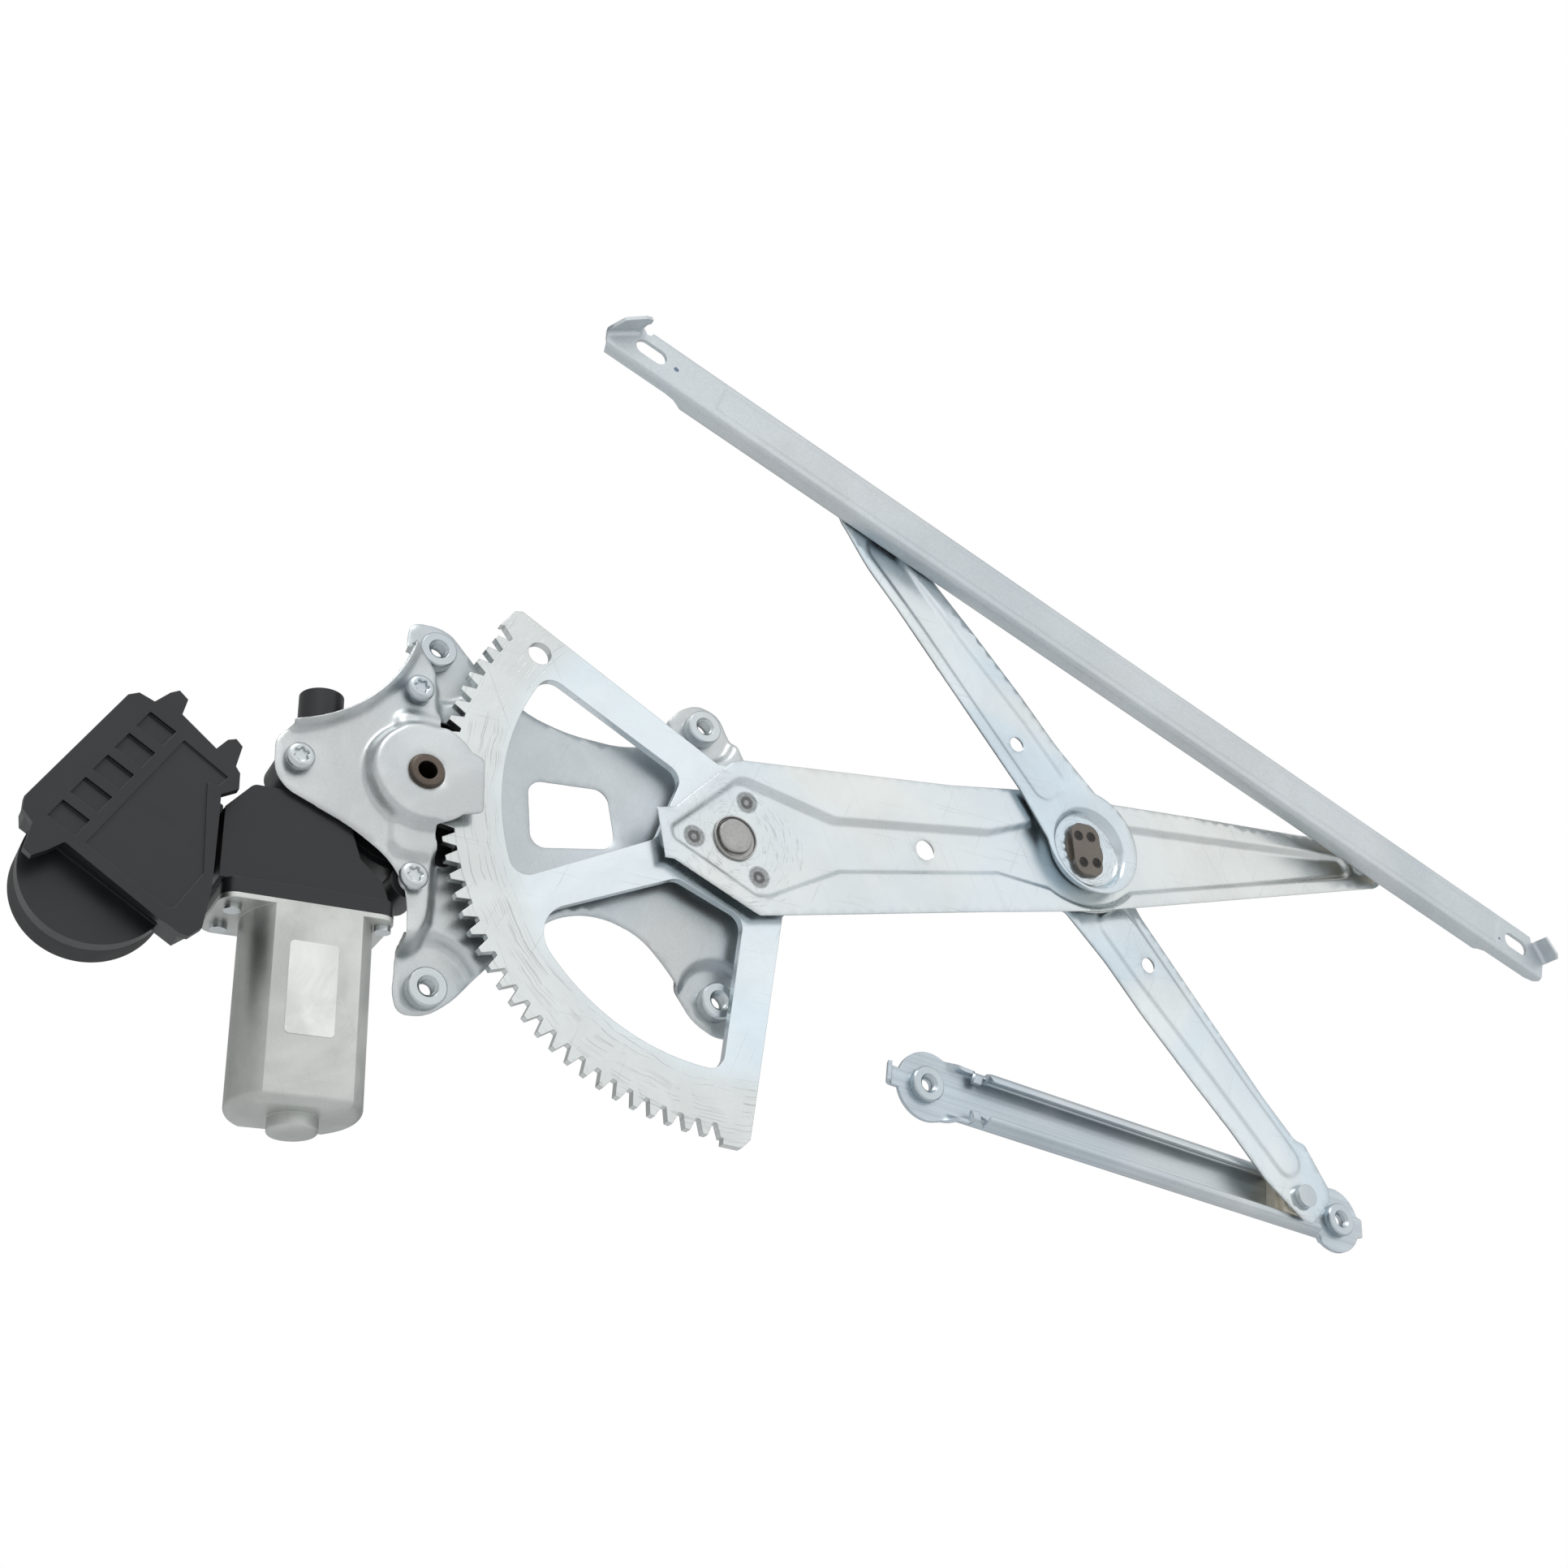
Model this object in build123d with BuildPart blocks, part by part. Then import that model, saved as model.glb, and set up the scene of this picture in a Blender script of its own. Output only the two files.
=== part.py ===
from build123d import *
from math import acos, cos, pi, radians, sin, tan
import os

# Scissor-arm power window regulator, modelled upright as it stands in a door.
# X runs along the glass rail, Z is the way the window rises, and the front of the
# mechanism faces -Y. Heights are measured forwards from the face that lies on the
# door's inner panel, and the origin is the upper right weld nut of the base plate.

# ---- linkage -------------------------------------------------------------------
LINK = 157.0  # each of the four half arms, pivot to pivot
REST_ANGLE = 31.2  # lift arm above the line of the rails
PIVOT_X = 23.4  # sector pivot from the origin nut
PIVOT_Z = -41.3

# ---- sheet metal ---------------------------------------------------------------
SHEET = 2.0  # base plate and arms
SECTOR_THICK = 3.0
RAIL_SHEET = 1.5
SLOPE_WALL = 1.5  # wall of a bead or panel, seen from the front
GAP = 0.3  # air between faces that pass each other
RUN_FIT = 0.06  # radial air of a turning fit

# ---- levels in front of the mounting face --------------------------------------
EAR_BACK = 0.0
MAIN_BACK = 3.5
SECTOR_BACK = 10.0
BOSS_BACK = SECTOR_BACK - GAP - SHEET
MOTOR_BACK = 11.0
LOBE_BACK = 13.0
DOME_BACK = 16.5
PANEL_BACK = SECTOR_BACK + SECTOR_THICK
RIM_RISE = 2.6
LIFT_RIM_BACK = PANEL_BACK + RIM_RISE
LIFT_RIM_FRONT = LIFT_RIM_BACK + SHEET
HUB_BACK = PANEL_BACK + SHEET + GAP
UPPER_FLOOR_BACK = LIFT_RIM_FRONT + GAP
BEAD = 1.0  # height of the long bead in each equalizer arm
LOWER_HUB_BACK = PANEL_BACK - GAP - SHEET
LOWER_RIDGE_BACK = 9.1
LOWER_RIM_BACK = LOWER_RIDGE_BACK - BEAD

# ---- gears ---------------------------------------------------------------------
MODULE = 2.0
SECTOR_TEETH = 105  # on a full circle
PINION_TEETH = 8
FIRST_GAP = 166.8  # angle of the first tooth gap at rest
GAP_COUNT = 36
PRESSURE = 20.0
BACKLASH = 0.30
SECTOR_PITCH_R = MODULE * SECTOR_TEETH / 2
SECTOR_TIP_R = SECTOR_PITCH_R + MODULE
SECTOR_ROOT_R = SECTOR_PITCH_R - 1.25 * MODULE
PINION_PITCH_R = MODULE * PINION_TEETH / 2
CENTRE_DISTANCE = SECTOR_PITCH_R + PINION_PITCH_R
PINION_ANGLE = 202.3  # where the pinion stands around the sector pivot
PINION_X = CENTRE_DISTANCE * cos(radians(PINION_ANGLE))
PINION_Z = CENTRE_DISTANCE * sin(radians(PINION_ANGLE))
TOOTH_ANGLE = 360 / SECTOR_TEETH
GAP_HALF = (pi * MODULE / 2 + BACKLASH / 2) / 2  # half a sector tooth gap on the pitch circle
LAST_GAP = FIRST_GAP + (GAP_COUNT - 1) * TOOTH_ANGLE

# ---- sliders, pins and rivets --------------------------------------------------
RIVET_R = 6.5
RIVET_HEAD_R = 8.3
CROSS_R = 9.0
STUD_R = 4.0
PIN_HEAD_RISE = 2.4  # riveted end of the lower pin above the arm
ARM_HOLE_R = 3.15
LIFT_HOLE = (81.3, -1.4)  # along the lift arm
LIFT_HOLE_R = 4.0
FACE_PLAY = 0.1  # air under a rivet head or a slider's shoulder

KEY_LONG = 22.0
KEY_WIDE = 13.5
KEY_TURN = 112.0
KEY_HIGH = 1.7

# ---- rails -----------------------------------------------------------------------
RAIL_Z = LINK * sin(radians(REST_ANGLE)) * 2  # centre line of the glass rail
SPREAD = LINK * cos(radians(REST_ANGLE)) * 2  # pivot to the two far sliders
RAIL_WIDTH = 20.5
RAIL_WEB_FRONT = 29.5
RAIL_LIP_BACK = 21.2
GLASS_LIP_SLOT = 9.0  # opening between the lips
SLIDER_AIR = 0.05  # slider to channel, each side
RAIL_LEFT = -121.5
RAIL_RIGHT = 367.0
DEEP_LEFT = -85.0
DEEP_RIGHT = 330.0
GLASS_SLOT_LEFT = -106.2
GLASS_SLOT_PITCH = 455.0
GUIDE_ANGLE = 12.83
GUIDE_WEB_BACK = -2.0
GUIDE_LIP_FRONT = 6.2
GUIDE_LIP_SLOT = 13.0
GUIDE_NUT_LEFT = -168.2  # along the guide rail from its slider
GUIDE_NUT_RIGHT = 27.0
GUIDE_NUT_HIGH = 3.0
GUIDE_LEFT = -143.5
GUIDE_RIGHT = 12.0
GUIDE_DISC_R = 12.8
GUIDE_DISC_INSET = 1.3  # the end discs are this much nearer to the middle than their nuts
GUIDE_TAB_REACH = 17.3  # from the left nut to the end of its tab
GUIDE_TAB_SHORT = 13.5
GUIDE_TAB_WIDE = 7.0
GUIDE_END_RISE = 4.5  # height of the end walls between the disc and the lips
GUIDE_STOP_X = -148.2
GUIDE_STOP_LONG = 3.5
GUIDE_STOP_DEEP = 5.0
END_FLANGE = 4.2  # depth of the rail's flanges near its ends
GLASS_SLOT_LONG = 13.3
GLASS_SLOT_WIDE = 7.0
LUG_HIGH = 11.0
SLIDER_LONG = 28.0
SLIDER_STEP = 8.0  # the neck is this much shorter than the shoe
SLIDER_HIGH = RAIL_WIDTH - 2 * RAIL_SHEET - 2 * SLIDER_AIR
SLIDER_BACK = RAIL_LIP_BACK + RAIL_SHEET + SLIDER_AIR
SLIDER_FRONT = RAIL_WEB_FRONT - RAIL_SHEET - SLIDER_AIR
NECK_BACK = RAIL_LIP_BACK
GUIDE_SLIDER_LONG = 19.0
GUIDE_SLIDER_STEP = 4.0
GUIDE_SLIDER_BACK = GUIDE_WEB_BACK + RAIL_SHEET + SLIDER_AIR
GUIDE_SLIDER_FRONT = GUIDE_LIP_FRONT - RAIL_SHEET - SLIDER_AIR

# ---- nuts and screws ---------------------------------------------------------------
NUT_R = 6.5
NUT_HIGH = 5.0
THREAD_MINOR_R = 2.5  # M6
NUT_MOUTH_R = 3.5
BASE_NUTS = [(-119.1, 8.7), (-71.9, -102.6), (-23.4, 41.3), (18.5, -54.4)]
MOTOR_SCREWS = [(-140.5, -60.0), (-118.8, -14.9), (-92.6, -76.5)]
SCREW_HEAD_R = 4.7
SCREW_R = 2.4

# ---- motor -------------------------------------------------------------------------
MOTOR_TURN = -67.2  # direction of the can from the pinion
WORM_OFFSET = 29.6  # worm axis from the pinion axis
AXIS_H = -2.0  # level of the worm and armature axis
WORM_MESH = 2.8  # wheel tip to worm axis
WHEEL_TIP_R = WORM_OFFSET - WORM_MESH
WHEEL_BACK = -5.5
WHEEL_THICK = 7.0
WHEEL_AIR = 0.5  # under the wheel
CHAMBER_FLOOR = 6.0  # from the wheel to the back of the housing
SHAFT_DEEP = 4.0  # output shaft's seat behind the wheel
CAN_R = 20.0
CAN_FLAT = 15.0
CAN_WALL = 1.6
CAN_START = 49.0
CAN_END = 111.0
SHAFT_R = 2.5
CORE_R = 12.4
MAGNET_IN_R = 13.3
FLANGE_THICK = 5.0
HOUSING_FRONT = MOTOR_BACK
HOUSING_BACK = -17.0

# ---- control unit --------------------------------------------------------------------
ECU_X = -172.0
ECU_Z = -103.0
ECU_TURN = -9.3
ECU_FRONT = 18.0
ECU_SPLIT = 15.0
ECU_BACK = 4.0
ECU_WALL = 1.6
PIN_COLUMNS = 5
PIN_ROWS = 2
PIN_THICK = 1.0
PIN_PITCH_X = 4.0
PIN_PITCH_Z = 5.0
PIN_OUT = 7.0


def facing(x, z, height, turn=0.0):
    """A sketch plane parallel to the door, placed from the sector pivot."""
    angle = radians(turn)
    return Plane(
        origin=(PIVOT_X + x, -height, PIVOT_Z + z),
        x_dir=(cos(angle), 0, sin(angle)),
        z_dir=(0, -1, 0),
    )


def polar(radius, angle):
    """A point on a circle round the sketch's own origin."""
    return (radius * cos(radians(angle)), radius * sin(radians(angle)))


def at_link(length, angle):
    """A pivot one link length away, as x and z from the sector pivot."""
    return (length * cos(radians(angle)), length * sin(radians(angle)))


def across_motor(a):
    """A sketch plane square to the armature: x away from the wheel, y forwards."""
    turn = radians(MOTOR_TURN)
    along = (cos(turn), sin(turn))
    side = (-sin(turn), cos(turn))
    x = PINION_X + a * along[0] - WORM_OFFSET * side[0]
    z = PINION_Z + a * along[1] - WORM_OFFSET * side[1]
    return Plane(
        origin=(PIVOT_X + x, -AXIS_H, PIVOT_Z + z),
        x_dir=(side[0], 0, side[1]),
        z_dir=(along[0], 0, along[1]),
    )


def motor_face(height):
    """A sketch plane parallel to the door: x along the can, y away from the worm."""
    return facing(PINION_X, PINION_Z, height, MOTOR_TURN)


CROSS_X, CROSS_Z = at_link(LINK, REST_ANGLE)


# ---- base plate: one stamping that steps up from the panel to the dome over the pinion ----
BLANK_MIDDLE = (-50.0, -30.0)
BLANK_LONG = 260.0
BLANK_HIGH = 240.0
# corners of the outer edge, each with the radius that rounds it
outer_corners = [
    (-129.6, 9.0, 30.0), (-130.9, 14.0, 3.4), (-129.1, 16.8, 5.0), (-122.8, 19.7, 12.0), (-117.5, 20.0, 9.0),
    (-106.2, 14.5, 60.0), (-84.4, 5.4, 28.0), (-67.1, 7.5, 60.0), (-48.9, 14.2, 40.0), (-38.9, 21.3, 11.0),
    (-36.5, 30.0, 34.0), (-35.9, 37.7, 24.0), (-33.0, 45.8, 17.0), (-27.8, 51.7, 9.0), (-19.2, 52.6, 8.4),
    (-6.4, 40.3, 80.0), (18.0, 18.0, 40.0), (24.0, -10.0, 95.0), (22.0, -44.0, 8.5), (28.0, -50.0, 11.5),
    (30.0, -62.0, 4.2), (23.6, -65.0, 11.0), (14.0, -64.0, 17.0), (-1.5, -53.8, 80.0), (-14.9, -47.8, 25.0),
    (-28.1, -48.6, 27.0), (-37.1, -52.2, 26.0), (-45.2, -59.2, 23.0), (-57.7, -86.4, 110.0), (-62.5, -101.5, 34.0),
    (-68.0, -110.0, 13.0), (-76.0, -113.5, 4.2), (-80.5, -107.8, 14.0), (-82.2, -102.5, 50.0),
    (-89.1, -86.6, 55.0), (-93.1, -79.9, 16.0), (-101.7, -74.1, 24.0), (-116.0, -71.1, 65.0),
    (-139.1, -70.9, 11.0), (-144.9, -67.6, 9.4), (-149.8, -56.9, 7.2),
]
concave_edge = [(-147.1, -50.4), (-129.8, -27.4), (-126.6, 1.7)]
EAR_CLEAR = [19.0, 17.0, 13.0, 14.0]  # radius left low around each base nut
BOSS_R = 17.0
TOOTH_AIR = 3.2  # wall of the motor face to the tips of the sector's teeth
STEP_R = SECTOR_TIP_R + TOOTH_AIR
SECTOR_SWEEP_R = STEP_R - GAP  # nothing of the raised forms hangs below the tongue inside this circle
EDGE_FLANGE_RISE = 6.0
JOURNAL_R = 5.8
DOME_R = 18.0
LOBE_WIDE = 16.8
LOBE_LONG = 50.8
LOBE_SHIFT_X = 0.9
LOBE_SHIFT_Y = 2.9
LOBE_ROUND = 4.0
# raised motor face: corners with their radii, closed by the arc round the sector
motor_corners = [
    (polar(STEP_R + 6.2, 225.5), 18.0), (polar(STEP_R + 12.5, 228.9), 7.0), (polar(STEP_R + 19.0, 228.5), 0.0),
    ((-100.0, -108.0), 0.0), ((-165.0, -108.0), 0.0), ((-165.0, 12.0), 0.0), (polar(STEP_R + 18.0, 177.8), 0.0),
    (polar(STEP_R + 11.3, 179.25), 5.0), (polar(STEP_R + 4.8, 181.5), 8.0),
]
motor_arc = [polar(STEP_R, 189.0), polar(STEP_R, 203.0), polar(STEP_R, 217.0)]
# tongue of the dome over the teeth, seen from the pinion with x away from the sector's pivot
TONGUE_REACH = 19.4
tongue_outline = [
    (-4.0, 17.0), (-11.0, 13.3), (-TONGUE_REACH, 11.0), (-TONGUE_REACH, -8.4), (-12.8, -11.0), (-4.0, -16.8),
]
PORT_WIDE = 12.0
PORT_LONG = 52.0
PORT_SHIFT = -8.0
window_corners = [(-72.3, -17.2), (-46.2, -4.4), (-35.0, -23.0), (-61.5, -39.6)]
WINDOW_ROUND = 5.0

with BuildPart() as plate_front:
    with BuildSketch(facing(*BLANK_MIDDLE, EAR_BACK)):
        Rectangle(BLANK_LONG, BLANK_HIGH)
    extrude(amount=SHEET)
    with BuildSketch(facing(0, 0, EAR_BACK)):
        with Locations(BLANK_MIDDLE):
            Rectangle(BLANK_LONG, BLANK_HIGH)
        for (x, z), clear in zip(BASE_NUTS, EAR_CLEAR):
            with Locations((x, z)):
                Circle(clear, mode=Mode.SUBTRACT)
    extrude(amount=MAIN_BACK + SHEET)
    with BuildSketch(facing(0, 0, EAR_BACK)):
        Circle(BOSS_R)
    extrude(amount=BOSS_BACK + SHEET)
    with BuildSketch(facing(0, 0, EAR_BACK)) as motor_pad:
        with BuildLine():
            motor_wall = [point for point, radius in motor_corners]
            rounding = [radius for point, radius in motor_corners]
            FilletPolyline(motor_arc[-1], *motor_wall, motor_arc[0], radius=rounding)
            ThreePointArc(*motor_arc)
        make_face()
    extrude(amount=MOTOR_BACK + SHEET)
    with BuildSketch(facing(PINION_X, PINION_Z, EAR_BACK, PINION_ANGLE)):
        with Locations((LOBE_SHIFT_X, LOBE_SHIFT_Y)):
            RectangleRounded(LOBE_WIDE, LOBE_LONG, LOBE_ROUND)
    extrude(amount=LOBE_BACK + SHEET)
    with BuildSketch(facing(PINION_X, PINION_Z, EAR_BACK, PINION_ANGLE)) as dome_pad:
        Polygon(*tongue_outline, align=None)
        fillet(dome_pad.vertices().group_by(Axis.X)[0], radius=2.5)
        Circle(DOME_R)
    extrude(amount=DOME_BACK + SHEET)

with BuildPart() as plate_hollow:
    with BuildSketch(facing(0, 0, EAR_BACK)):
        with Locations(BLANK_MIDDLE):
            Rectangle(BLANK_LONG, BLANK_HIGH)
        for (x, z), clear in zip(BASE_NUTS, EAR_CLEAR):
            with Locations((x, z)):
                Circle(clear + SHEET, mode=Mode.SUBTRACT)
    extrude(amount=MAIN_BACK)
    with BuildSketch(facing(0, 0, EAR_BACK)):
        Circle(BOSS_R - SHEET)
    extrude(amount=BOSS_BACK)
    with BuildSketch(facing(0, 0, EAR_BACK)):
        add(motor_pad.sketch_local)
        offset(amount=-SHEET, kind=Kind.INTERSECTION)
    extrude(amount=MOTOR_BACK)
    with BuildSketch(facing(PINION_X, PINION_Z, EAR_BACK, PINION_ANGLE)):
        with Locations((LOBE_SHIFT_X, LOBE_SHIFT_Y)):
            RectangleRounded(LOBE_WIDE - 2 * SHEET, LOBE_LONG - 2 * SHEET, LOBE_ROUND - SHEET)
    extrude(amount=LOBE_BACK)
    with BuildSketch(facing(PINION_X, PINION_Z, EAR_BACK, PINION_ANGLE)):
        add(dome_pad.sketch_local)
        offset(amount=-SHEET, kind=Kind.INTERSECTION)
    extrude(amount=DOME_BACK)

with BuildPart() as base_plate:
    with BuildSketch(facing(0, 0, EAR_BACK)):
        with BuildLine():
            rim_points = [(x, z) for x, z, radius in outer_corners]
            rounding = [radius for x, z, radius in outer_corners]
            FilletPolyline(concave_edge[-1], *rim_points, concave_edge[0], radius=rounding)
            ThreePointArc(*concave_edge)
        make_face()
    extrude(amount=DOME_BACK + SHEET)
    add(plate_front.part, mode=Mode.INTERSECT)
    add(plate_hollow.part, mode=Mode.SUBTRACT)
    # turned-up edge along the concave side
    with BuildSketch(facing(0, 0, MOTOR_BACK)):
        with BuildLine():
            ThreePointArc(*concave_edge)
        trace(line_width=SHEET)
    extrude(amount=EDGE_FLANGE_RISE)
    # the sector's rim runs under the tongue, which stands free of the walls
    with BuildSketch(facing(0, 0, MAIN_BACK + SHEET)):
        Circle(SECTOR_SWEEP_R)
        Circle(CENTRE_DISTANCE - 2 * TONGUE_REACH, mode=Mode.SUBTRACT)
    extrude(amount=DOME_BACK - MAIN_BACK - SHEET, mode=Mode.SUBTRACT)
    # port in the low sheet where the teeth meet the pinion
    with BuildSketch(facing(PINION_X, PINION_Z, EAR_BACK, PINION_ANGLE)):
        with Locations((PORT_SHIFT, 0)):
            RectangleRounded(PORT_WIDE, PORT_LONG, 3.0)
    extrude(amount=MAIN_BACK + SHEET, mode=Mode.SUBTRACT)
    # pinion journal, screws, nuts, pivot and the large window
    with BuildSketch(facing(PINION_X, PINION_Z, EAR_BACK)):
        Circle(JOURNAL_R + RUN_FIT)
    extrude(amount=DOME_BACK + 2 * SHEET, mode=Mode.SUBTRACT)
    with BuildSketch(facing(0, 0, EAR_BACK)):
        Circle(RIVET_R)
        with Locations(*MOTOR_SCREWS):
            Circle(SCREW_R)
        with Locations(*BASE_NUTS):
            Circle(THREAD_MINOR_R)
    extrude(amount=DOME_BACK + SHEET, mode=Mode.SUBTRACT)
    with BuildSketch(facing(0, 0, EAR_BACK)) as plate_window:
        Polygon(*window_corners, align=None)
        fillet(plate_window.vertices(), radius=WINDOW_ROUND)
    extrude(amount=MAIN_BACK + 2 * SHEET, mode=Mode.SUBTRACT)

with BuildPart() as base_weld_nuts:
    with BuildSketch(facing(0, 0, EAR_BACK + SHEET)):
        with Locations(*BASE_NUTS):
            Circle(NUT_R)
            Circle(THREAD_MINOR_R, mode=Mode.SUBTRACT)
    extrude(amount=NUT_HIGH)
    rims = base_weld_nuts.edges().filter_by(GeomType.CIRCLE)
    rims = rims.filter_by_position(Axis.Y, -EAR_BACK - SHEET - NUT_HIGH - 0.1, -EAR_BACK - SHEET - NUT_HIGH + 0.1)
    chamfer([e for e in rims if e.radius < NUT_R - 1], length=NUT_MOUTH_R - THREAD_MINOR_R)

with BuildPart() as pivot_rivet:
    with BuildSketch(facing(0, 0, BOSS_BACK - 1.5)):
        Circle(RIVET_R + 2.0)
    extrude(amount=1.5)
    with BuildSketch(facing(0, 0, BOSS_BACK)):
        Circle(RIVET_R)
    extrude(amount=PANEL_BACK + SHEET + FACE_PLAY - BOSS_BACK)
    with BuildSketch(facing(0, 0, PANEL_BACK + SHEET + FACE_PLAY)):
        Circle(RIVET_HEAD_R)
    extrude(amount=2.0)

with BuildPart() as motor_screws:
    with BuildSketch(facing(0, 0, MOTOR_BACK - 8.0)):
        with Locations(*MOTOR_SCREWS):
            Circle(SCREW_R)
    extrude(amount=8.0 + SHEET)
    with BuildSketch(facing(0, 0, MOTOR_BACK + SHEET)):
        with Locations(*MOTOR_SCREWS):
            Circle(SCREW_HEAD_R)
    extrude(amount=2.4)
    heads = motor_screws.edges().filter_by_position(Axis.Y, -MOTOR_BACK - SHEET - 2.5, -MOTOR_BACK - SHEET - 2.3)
    chamfer(heads, length=0.8)

# ---- gear motor: plastic housing behind the plate, with the wheel chamber and the worm tube ----
CHAMBER_R = WHEEL_TIP_R + 0.6
CHAMBER_WALL = 2.2
COVER_THICK = 1.4
COVER_BACK = MAIN_BACK - GAP - COVER_THICK
SHAFT_BOSS_R = 8.0
OUTPUT_R = 4.5
TUBE_R = 7.2
TUBE_START = -30.0
BOX_EDGE = -60.0
FLANGE_WIDE = 53.2
FLANGE_SHIFT = -2.6
CAN_SCREWS = [(-24.5, 8.0), (-24.5, -8.0), (21.3, 8.6)]
CAN_SCREW_R = 1.6
CAN_BOSS_R = 7.5
CAN_BOSS_HIGH = 5.0
WORM_R = 2.7  # root of the worm's thread
WORM_LONG = 26.0
PLUG_R = 3.6
PLUG_LONG = 4.0
SHAFT_BOSS_FRONT = 8.6
LABEL_MIDDLE = 76.0
LABEL_LONG = 29.0
LABEL_WIDE = 15.0
MAGNET_START = 64.0
MAGNET_LONG = 38.0
COMMUTATOR_R = 7.0
BRUSH_PLATE = 2.5
BRUSH_PLACE = 11.4
BRUSH_LONG = 7.0
BRUSH_WIDE = 6.0
PINION_BACK = 9.3
PINION_LONG = 4.4
PINION_BORE_R = 3.5
PINION_BORE_DEEP = 4.0  # behind the teeth
PINION_ROOT_R = 5.5
UNDERCUT_HALF = 1.1
TIP_TRIM = 0.2
MESH_GAP = FIRST_GAP + 10 * TOOTH_ANGLE  # the gap that stands at the pinion at rest
PINION_PHASE = PINION_ANGLE - 180.0 + (PINION_ANGLE - MESH_GAP) * SECTOR_TEETH / PINION_TEETH
PINION_BASE_R = PINION_PITCH_R * cos(radians(PRESSURE))
CAN_SCREW_HEAD_R = 2.6
POST_R = 5.8
POST_RIB = 4.0
POST_FOOT = 6.0


def tooth_half(radius):
    """Half the width of a pinion tooth, an involute above the base circle."""
    pitch_half = (pi * MODULE / 2 - BACKLASH / 2) / 2 / PINION_PITCH_R
    rolled = acos(min(1.0, PINION_BASE_R / radius))
    pressed = radians(PRESSURE)
    turn = pitch_half + (tan(pressed) - pressed) - (tan(rolled) - rolled)
    return radius * turn


def tooth_side(side):
    """One flank of a pinion tooth from root to tip, cut away below the base circle."""
    flank = [(PINION_ROOT_R - 0.3, side * UNDERCUT_HALF), (PINION_BASE_R - 0.6, side * UNDERCUT_HALF)]
    for radius in (PINION_BASE_R, 8.2, 9.0, 9.6, PINION_PITCH_R + MODULE - TIP_TRIM):
        flank.append((radius, side * tooth_half(radius)))
    return flank


with BuildPart() as gear_housing:
    # wheel chamber
    with BuildSketch(motor_face(WHEEL_BACK - CHAMBER_FLOOR)):
        Circle(CHAMBER_R + CHAMBER_WALL)
    extrude(amount=COVER_BACK + COVER_THICK - WHEEL_BACK + CHAMBER_FLOOR)
    # worm tube and the flange that the can is screwed to
    with BuildSketch(across_motor(TUBE_START)):
        Circle(TUBE_R)
    extrude(amount=CAN_START - TUBE_START - FLANGE_THICK)
    with BuildSketch(across_motor(CAN_START - FLANGE_THICK)):
        with Locations((FLANGE_SHIFT, 0)):
            RectangleRounded(FLANGE_WIDE, 2 * CAN_FLAT, 5.0)
    extrude(amount=FLANGE_THICK)
    # box for the brushes' leads, beside the control unit
    with BuildSketch(motor_face(HOUSING_BACK)) as box_outline:
        Polygon((21.0, BOX_EDGE), (CAN_START - FLANGE_THICK, BOX_EDGE), (CAN_START - FLANGE_THICK, -8.0),
                (38.0, -10.0), (31.0, -17.7), (12.0, -24.0), (12.0, -52.0), align=None)
        fillet(box_outline.vertices().group_by(Axis.X)[0], radius=3)
    extrude(amount=HOUSING_FRONT - HOUSING_BACK)
    # posts that stand up to the plate's motor face
    with BuildSketch(facing(0, 0, COVER_BACK - POST_FOOT)):
        with Locations(*MOTOR_SCREWS):
            Circle(POST_R)
    extrude(amount=HOUSING_FRONT - COVER_BACK + POST_FOOT)
    with BuildSketch(facing(0, 0, COVER_BACK - POST_FOOT)):
        with BuildLine():
            for screw in MOTOR_SCREWS:
                Line(screw, (PINION_X, PINION_Z))
        trace(line_width=POST_RIB)
    extrude(amount=POST_FOOT + COVER_THICK)
    # shelf under the control unit
    with BuildSketch(facing(ECU_X, ECU_Z, ECU_BACK - 3.0, ECU_TURN)):
        Polygon((6.0, 4.0), (6.0, 24.0), (16.0, 24.0), (34.0, 4.0), align=None)
    extrude(amount=3.0)
    # hollows: wheel, worm, output shaft, screws
    with BuildSketch(motor_face(WHEEL_BACK - WHEEL_AIR)):
        Circle(CHAMBER_R)
    extrude(amount=HOUSING_FRONT - WHEEL_BACK + WHEEL_AIR, mode=Mode.SUBTRACT)
    with BuildSketch(motor_face(WHEEL_BACK - SHAFT_DEEP)):
        Circle(OUTPUT_R + RUN_FIT)
    extrude(amount=SHAFT_DEEP, mode=Mode.SUBTRACT)
    with BuildSketch(across_motor(-16.0)):
        Circle(WORM_R + 1.6)
    extrude(amount=34.0, mode=Mode.SUBTRACT)
    with BuildSketch(across_motor(TUBE_START)):
        Circle(SHAFT_R + RUN_FIT)
    extrude(amount=CAN_START - TUBE_START, mode=Mode.SUBTRACT)
    with BuildSketch(across_motor(TUBE_START)):
        Circle(PLUG_R)
    extrude(amount=PLUG_LONG, mode=Mode.SUBTRACT)
    with BuildSketch(facing(0, 0, MOTOR_BACK - 8.0)):
        with Locations(*MOTOR_SCREWS):
            Circle(SCREW_R)
    extrude(amount=8.0, mode=Mode.SUBTRACT)
    with BuildSketch(across_motor(CAN_START - FLANGE_THICK)):
        with Locations(*CAN_SCREWS):
            Circle(CAN_SCREW_R)
    extrude(amount=FLANGE_THICK, mode=Mode.SUBTRACT)

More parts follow.
